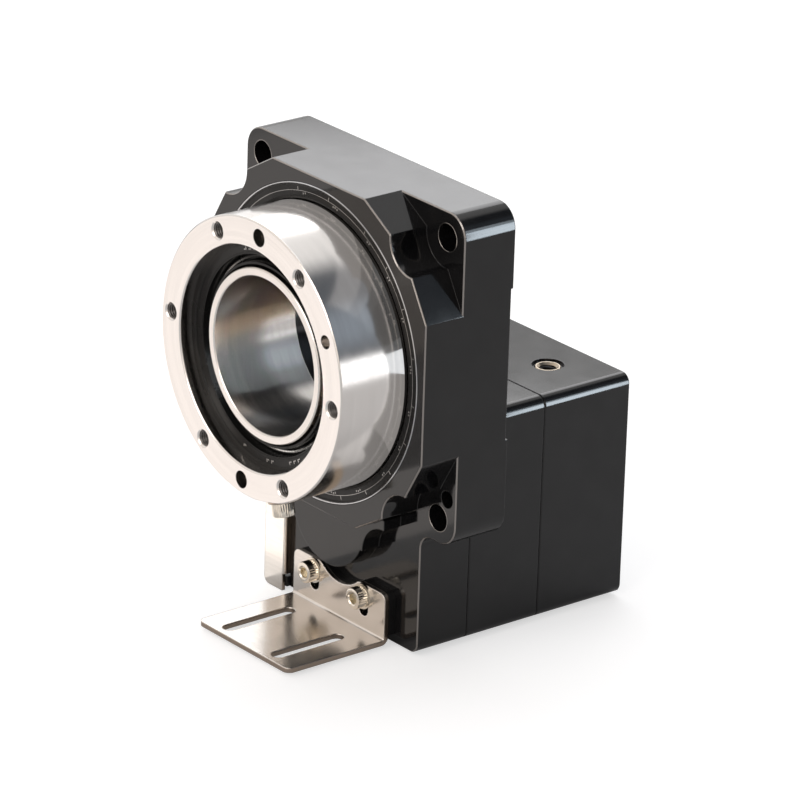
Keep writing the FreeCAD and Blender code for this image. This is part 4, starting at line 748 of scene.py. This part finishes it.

# %% [markdown]
# ## Thread turns in the ring
# The six tapped holes of the ring show their first turns, painted much darker than its face as
# painted shade inside the holes. The foot of the thread sits just inside the metal, so no gap shows.
# The two wider holes between them are plain.

# %% Thread turns
TAPS = 6
TAP_RING = 49.0
TAP_DEPTH = -45.75
TAP_START = math.radians(-4.4)
first_thread = wound_thread("ring_thread_1", root=3.03, crest=2.58, pitch=1.0, turns=8, steps=28)
for index, thread in enumerate(repeats_of(first_thread, TAPS)):
    angle = TAP_START + index * math.tau / TAPS
    set_down(thread, (TAP_RING * math.cos(angle), TAP_DEPTH, TAP_RING * math.sin(angle)))
    dress(thread, "thread_steel", "table")
print("thread turns, faces each:", len(first_thread.data.polygons))

# %% [markdown]
# ## Seal spring
# A garter spring keeps the inner seal's lip on the sleeve. Seen close it is a coil, not a smooth
# ring: one small turn of wire is spun round the seal as many separate turns.

# %% Seal spring
SPRING_RING = 36.9
SPRING_DEPTH = -35.7
SPRING_TURNS = 220
COIL_RADIUS = 0.64
WIRE_RADIUS = 0.21
COIL_LEAN = math.radians(9.0)

deselect_all()
bpy.ops.mesh.primitive_torus_add(major_radius=COIL_RADIUS * MM, minor_radius=WIRE_RADIUS * MM,
                                 major_segments=8, minor_segments=4, location=ORIGIN)
coil = bpy.context.object
coil.name = "garter_coil"
set_down(coil, (SPRING_RING, SPRING_DEPTH, 0.0), (COIL_LEAN, 0.0, 0.0))
bpy.ops.object.mode_set(mode="EDIT")
bpy.ops.mesh.select_all(action="SELECT")
bpy.ops.mesh.spin(steps=SPRING_TURNS, angle=math.tau, dupli=True, center=ORIGIN, axis=(0.0, 1.0, 0.0))
bpy.ops.mesh.select_all(action="SELECT")
bpy.ops.mesh.remove_doubles(threshold=MERGE)
bpy.ops.object.mode_set(mode="OBJECT")
dress(coil, "spring_steel", "table")
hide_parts("seal_spring")
print("spring faces:", len(coil.data.polygons))

# %% [markdown]
# ## Seal rims
# The outer seal has a thin bright case edge, a fine raised line and the line of its lip. The
# inner seal has a raised line and a step. Each is a thin ring with a rounded front.

# %% Seal rims
def rounded_ring(name, radius, wide, front, tall, steps):
    half = wide / 2
    back, brow = front + tall, front + tall * 0.3
    points = [(radius - half, back), (radius - half, brow), (radius - half * 0.5, front),
              (radius + half * 0.5, front), (radius + half, brow), (radius + half, back),
              (radius - half, back)]
    return turned_piece(name, points, steps)


for name, radius, wide, front, tall, steps, finish, body in (
        ("seal_case_edge", 60.95, 0.6, -17.12, 0.7, 160, "seal_case", "base"),
        ("seal_face_line", 57.9, 0.32, -16.52, 0.4, 160, "seal_marks", "base"),
        ("seal_lip_line", 55.9, 0.5, -16.62, 0.5, 160, "seal_rubber", "base"),
        ("inner_seal_line", 41.9, 0.5, -39.92, 0.4, 128, "seal_rubber", "table"),
        ("inner_seal_step", 39.0, 0.4, -39.5, 0.4, 128, "seal_rubber", "table")):
    dress(rounded_ring(name, radius, wide, front, tall, steps), finish, body)


# %% [markdown]
# ## Seal marks
# Both seals carry short ticks and groups of dots. They are generic, with no letters. Each mark
# is a small block with bevelled edges, set at its angle in degrees from the ring's right, and
# all marks of a seal are joined.

# %% Seal marks
OUTER_ANGLES = (102, 84, 62, 46, 30, 12, -6, -22, -38, -56, -72, -90, 140, 170, 200, 230)
OUTER_FRONT = -16.45
OUTER_TICK = {"long": 1.5, "wide": 0.28, "tall": 0.3}
OUTER_DOT = {"long": 0.7, "wide": 0.5, "tall": 0.3}
INNER_ANGLES = (96, 100, 104, 108, -58, -62, -66, -82, -86, -106)
INNER_FRONT = -39.7
INNER_TICK = {"long": 1.3, "wide": 0.35, "tall": 0.35}
INNER_DOT = {"long": 0.4, "wide": 0.9, "tall": 0.35}


def mark_bar(radius, front, angle, long, wide, tall):
    deselect_all()
    bpy.ops.mesh.primitive_cube_add(size=MM)
    bar = bpy.context.object
    bpy.ops.object.mode_set(mode="EDIT")
    bpy.ops.mesh.select_all(action="SELECT")
    bpy.ops.transform.resize(value=(long, tall, wide), center_override=ORIGIN)
    bpy.ops.mesh.bevel(offset=0.05 * MM, segments=1, affect="EDGES")
    bpy.ops.object.mode_set(mode="OBJECT")
    set_down(bar, (radius, front, 0.0))
    set_down(bar, ORIGIN, (0.0, -math.radians(angle), 0.0))
    return bar


def join_bars(name, bars):
    deselect_all()
    for bar in bars:
        bar.select_set(True)
    bpy.context.view_layer.objects.active = bars[0]
    bpy.ops.object.join()
    bars[0].name = name
    return bars[0]


outer_bars = []
for start in OUTER_ANGLES:
    outer_bars.append(mark_bar(58.7, OUTER_FRONT, start, **OUTER_TICK))
    for dot in range(3 if start % 4 == 0 else 2):
        radius, angle = 56.95 + 0.2 * (dot % 2), start - 3.0 - dot * 1.2
        outer_bars.append(mark_bar(radius, OUTER_FRONT, angle, **OUTER_DOT))
outer_marks = join_bars("outer_seal_marks", outer_bars)
dress(outer_marks, "seal_marks", "base")

inner_bars = []
for start in INNER_ANGLES:
    inner_bars.append(mark_bar(40.6, INNER_FRONT, start, **INNER_TICK))
    inner_bars.append(mark_bar(40.2, INNER_FRONT, start + 1.2, **INNER_DOT))
inner_marks = join_bars("inner_seal_marks", inner_bars)
dress(inner_marks, "seal_marks", "table")
print("marks:", len(outer_bars) + len(inner_bars))

# %% [markdown]
# ## Floor
# The part stands on a wide white floor. It glows a little for the camera, so that it reads as
# white without more light on the part, and it keeps the part's shadow.

# %% Floor
FLOOR = cad_box[0][2] - 0.0002
FLOOR_SIZE = 8.0
FLOOR_WHITE = (0.56, 0.56, 0.565, 1.0)
FLOOR_GLOW = 0.60
FLOOR_MIRRORED = 0.08


def make_floor():
    deselect_all()
    bpy.ops.mesh.primitive_plane_add(size=FLOOR_SIZE, location=(0.0, 0.0, FLOOR))
    floor = bpy.context.object
    floor.name = "studio_floor"
    finish = bpy.data.materials.new("studio_white")
    finish.use_nodes = True
    tree = finish.node_tree
    shader = tree.nodes["Principled BSDF"]
    shader.inputs["Base Color"].default_value = FLOOR_WHITE
    shader.inputs["Roughness"].default_value = 0.9
    shader.inputs["Specular IOR Level"].default_value = 0.0
    path = tree.nodes.new("ShaderNodeLightPath")
    seen = math_node(tree, "MAXIMUM", path.outputs["Is Camera Ray"], path.outputs["Is Transmission Ray"])
    seen = math_node(tree, "MULTIPLY", seen, FLOOR_GLOW)
    mirrored = math_node(tree, "MULTIPLY", path.outputs["Is Glossy Ray"], FLOOR_MIRRORED)
    shader.inputs["Emission Color"].default_value = (1.0, 1.0, 1.0, 1.0)
    join(tree, math_node(tree, "MAXIMUM", seen, mirrored), shader.inputs["Emission Strength"])
    floor.data.materials.append(finish)
    return floor


make_floor()


# %% [markdown]
# ## World
# Curved steel shows the whole room. Behind the part to the left the room is bright, which gives
# the ring its white shoulder; behind it to the right the room is a dark blue grey, which gives
# the ring its deep band. The split follows the X share of the direction. One paler window stands
# in the dark part, the horizon is bright, the front of the room is warm, and the ceiling is dim.

# %% World
ROOM_DARK = (0.105, 0.115, 0.130)
ROOM_BRIGHT = (0.95, 0.94, 0.93)
ROOM_HORIZON = (0.95, 0.95, 0.96)
ROOM_FRONT = (1.0, 0.93, 0.87)
ROOM_CEILING = (0.30, 0.30, 0.31)
WINDOW_AIM = (0.681, 0.588, 0.437)
WINDOW_COLOUR = (0.27, 0.31, 0.36)


def make_world():
    world = bpy.data.worlds.new("studio_world")
    scene.world = world
    world.use_nodes = True
    tree = world.node_tree
    back = tree.nodes["Background"]
    place = tree.nodes.new("ShaderNodeTexCoord")
    split = tree.nodes.new("ShaderNodeSeparateXYZ")
    join(tree, place.outputs["Generated"], split.inputs[0])
    x, y, z = split.outputs
    left = span(tree, x, 0.18, -0.04)
    room = blend_colour(tree, left, ROOM_DARK, ROOM_BRIGHT)
    aim = tree.nodes.new("ShaderNodeVectorMath")
    aim.operation = "DOT_PRODUCT"
    join(tree, place.outputs["Generated"], aim.inputs[0])
    aim.inputs[1].default_value = WINDOW_AIM
    window = span(tree, aim.outputs["Value"], 0.955, 0.995)
    room = blend_colour(tree, window, room, WINDOW_COLOUR)
    horizon = span(tree, math_node(tree, "ABSOLUTE", z), 0.12, 0.04)
    room = blend_colour(tree, horizon, room, ROOM_HORIZON)
    front = span(tree, y, -0.15, -0.45)
    room = blend_colour(tree, front, room, ROOM_FRONT)
    ceiling = span(tree, z, 0.80, 0.97)
    colour = blend_colour(tree, ceiling, room, ROOM_CEILING)
    join(tree, colour, back.inputs["Color"])
    back.inputs["Strength"].default_value = 1.0


make_world()


# %% [markdown]
# ## Lamps
# Three large boxes light the part: one at the left back for the top faces and the ring's
# shoulder, one above and one in front. Two wide cards lie just over the floor at the left front.
# One gives the front faces their warm sheen, and the other lights only the side plate.

# %% Lamps
def lamp_power(size, radiance):
    return radiance * math.pi * size[0] * size[1]


def soft_box(name, place, aim, size, radiance, colour=(1.0, 1.0, 1.0)):
    data = bpy.data.lights.new(name, "AREA")
    data.shape = "RECTANGLE"
    data.size, data.size_y = size
    data.energy = lamp_power(size, radiance)
    data.color = colour
    lamp = bpy.data.objects.new(name, data)
    scene.collection.objects.link(lamp)
    lamp.location = place
    lamp.rotation_euler = (Vector(aim) - Vector(place)).to_track_quat("-Z", "Y").to_euler()
    lamp.visible_camera = False
    return lamp


def group_of(name, members):
    group = bpy.data.collections.new(name)
    for member in members:
        group.objects.link(bpy.data.objects[member])
    return group


def light_only(lamp, names, blockers=()):
    lamp.light_linking.receiver_collection = group_of(lamp.name + "_receivers", names)
    if blockers:
        lamp.light_linking.blocker_collection = group_of(lamp.name + "_blockers", blockers)


COOL_WHITE = (0.98, 0.98, 1.0)
WARM_WHITE = (1.0, 0.96, 0.92)
soft_box("left_back_box", (-0.88, 0.72, 0.75), ORIGIN, (0.9, 0.6), 1.85, COOL_WHITE)
soft_box("top_box", (-0.2, 0.2, 1.4), ORIGIN, (0.9, 0.7), 2.3, COOL_WHITE)
soft_box("front_box", (0.3, -1.5, 0.9), ORIGIN, (1.2, 0.9), 2.0, WARM_WHITE)
soft_box("warm_card", (-0.255, -0.215, -0.1145), (-0.255, -0.215, 0.5), (0.42, 0.39), 0.58,
         (1.0, 0.89, 0.81))
plate_card = soft_box("plate_card", (-0.255, -0.185, -0.1145), (-0.255, -0.185, 0.5), (0.42, 0.45),
                      0.60, WARM_WHITE)
light_only(plate_card, ("side_plate",))

# %% [markdown]
# ## Corner cards
# Small cards at the right draw the pale blue lines down the rounded corners of the housing and
# the blocks. A weaker card above each lets its line fade out upwards. Light linking keeps every
# small card on its own pieces, so none of them shows as a spot elsewhere.

# %% Corner cards
PALE_BLUE = (0.80, 0.91, 1.0)
BLOCKS = ("middle_block", "motor_adapter")
for name, place, size, radiance, lit in (
        ("corner_card", (0.300, 0.202, 0.057), (0.046, 0.135), 13.0, ("housing",)),
        ("corner_fade", (0.300, 0.202, 0.154), (0.046, 0.060), 4.0, ("housing",)),
        ("block_card", (0.300, 0.272, -0.030), (0.080, 0.150), 13.0, BLOCKS),
        ("block_fade", (0.300, 0.272, 0.075), (0.080, 0.060), 4.0, BLOCKS)):
    light_only(soft_box(name, place, (0.0, place[1], place[2]), size, radiance, PALE_BLUE), lit)

# %% [markdown]
# ## Ring cards
# One card beside the ring makes the crisp bright patch on its rim. Near the seal the rim mirrors
# the black face of the housing, so a column of low cards stands just in front of that face, for
# the ring alone. Each row gives the card's place across, its lower and upper edge, its width and
# its level. They go from grey at the top through dark blue to the bright band, then grey again
# and a little bronze at the foot.

# %% Ring cards
RIM_CARD_DEPTH = -0.0174
RIM_GREY = (1.0, 0.97, 0.95)
RIM_BLUE = (0.90, 0.95, 1.0)
RIM_BRONZE = (1.0, 0.76, 0.54)
ring_card = soft_box("ring_card", (0.150, 0.014, 0.006), (0.0, 0.014, 0.006), (0.072, 0.040), 1.1,
                     (0.96, 0.98, 1.0))
light_only(ring_card, ("table_ring",))
for name, across, low, high, width, radiance, colour in (
        ("rim_card_top", 0.000, 0.0500, 0.0650, 0.130, 0.21, RIM_GREY),
        ("rim_card_high", 0.034, 0.0430, 0.0500, 0.062, 0.11, RIM_GREY),
        ("rim_card_dim", 0.034, 0.0370, 0.0430, 0.062, 0.07, RIM_BLUE),
        ("rim_card_dark", 0.034, 0.0190, 0.0370, 0.062, 0.05, RIM_BLUE),
        ("rim_card_rise", 0.034, 0.0150, 0.0190, 0.062, 0.11, RIM_BLUE),
        ("rim_card_band", 0.034, 0.0055, 0.0150, 0.062, 0.95, RIM_BLUE),
        ("rim_card_low", 0.034, -0.0280, 0.0055, 0.062, 0.28, RIM_GREY),
        ("rim_card_foot", 0.034, -0.0590, -0.0280, 0.062, 0.20, RIM_GREY),
        ("rim_card_bronze", 0.015, -0.0645, -0.0590, 0.080, 0.24, RIM_BRONZE)):
    place = Vector((across, RIM_CARD_DEPTH, (low + high) / 2))
    towards_front = place - Vector((0.0, 1.0, 0.0))
    rim_card = soft_box(name, place, towards_front, (width, high - low), radiance, colour)
    light_only(rim_card, ("table_ring",))


# %% [markdown]
# ## Bore cards
# The sleeve's bore shows bands of bronze and blue that run along it. Each band lies between two
# angles about the bore's axis, in degrees. Its middle mirrors a place in the room that lies at
# twice its own angle, less the angle of the camera's line of sight and half a turn. The card
# stands there, just wide enough for its band. Only the side plate can block these cards. They
# are sampled as lamps only, because a mirrored ray would be stopped by the housing.

# %% Bore cards
SIGHT_DEPTH = CAMERA_FORWARD.y
SIGHT_ACROSS = math.sqrt(1.0 - SIGHT_DEPTH ** 2)
SIGHT_TURN = math.atan2(CAMERA_FORWARD.z, CAMERA_FORWARD.x)
BORE_MIDDLE = Vector((0.0, -0.02, 0.0))
CARD_DISTANCE = 0.6
CARD_LENGTH = 0.5
NEVER_IN_THE_WAY = ("side_plate",)


def bore_card(name, first, last, radiance, colour, lit=("hollow_sleeve",)):
    turn = math.radians(first + last) - SIGHT_TURN - math.pi
    half = math.radians(last - first)
    away = Vector((SIGHT_ACROSS * math.cos(turn), SIGHT_DEPTH, SIGHT_ACROSS * math.sin(turn)))
    side = Vector((-math.sin(turn), 0.0, math.cos(turn)))
    reach = SIGHT_ACROSS * math.sin(half) / (SIGHT_ACROSS ** 2 * math.cos(half) + SIGHT_DEPTH ** 2)
    place = BORE_MIDDLE + away * CARD_DISTANCE
    size = (2 * reach * CARD_DISTANCE, CARD_LENGTH)
    card = soft_box(name, place, BORE_MIDDLE, size, radiance, colour)
    turned = Matrix((side, away.cross(side), away)).transposed().to_4x4()
    card.matrix_world = Matrix.Translation(place) @ turned
    card.data.cycles.use_multiple_importance_sampling = False
    light_only(card, lit, NEVER_IN_THE_WAY)


bore_card("bore_bronze_wide", 152.0, 187.0, 0.060, (1.0, 0.74, 0.54))
bore_card("bore_bronze", 172.0, 186.0, 0.27, (1.0, 0.72, 0.50))
bore_card("bore_blue", 190.0, 229.0, 0.18, (0.88, 0.94, 1.0))
bore_card("lip_blue", 196.0, 222.0, 3.0, (0.92, 0.96, 1.0),
          ("inner_oil_seal", "inner_seal_line", "inner_seal_step"))
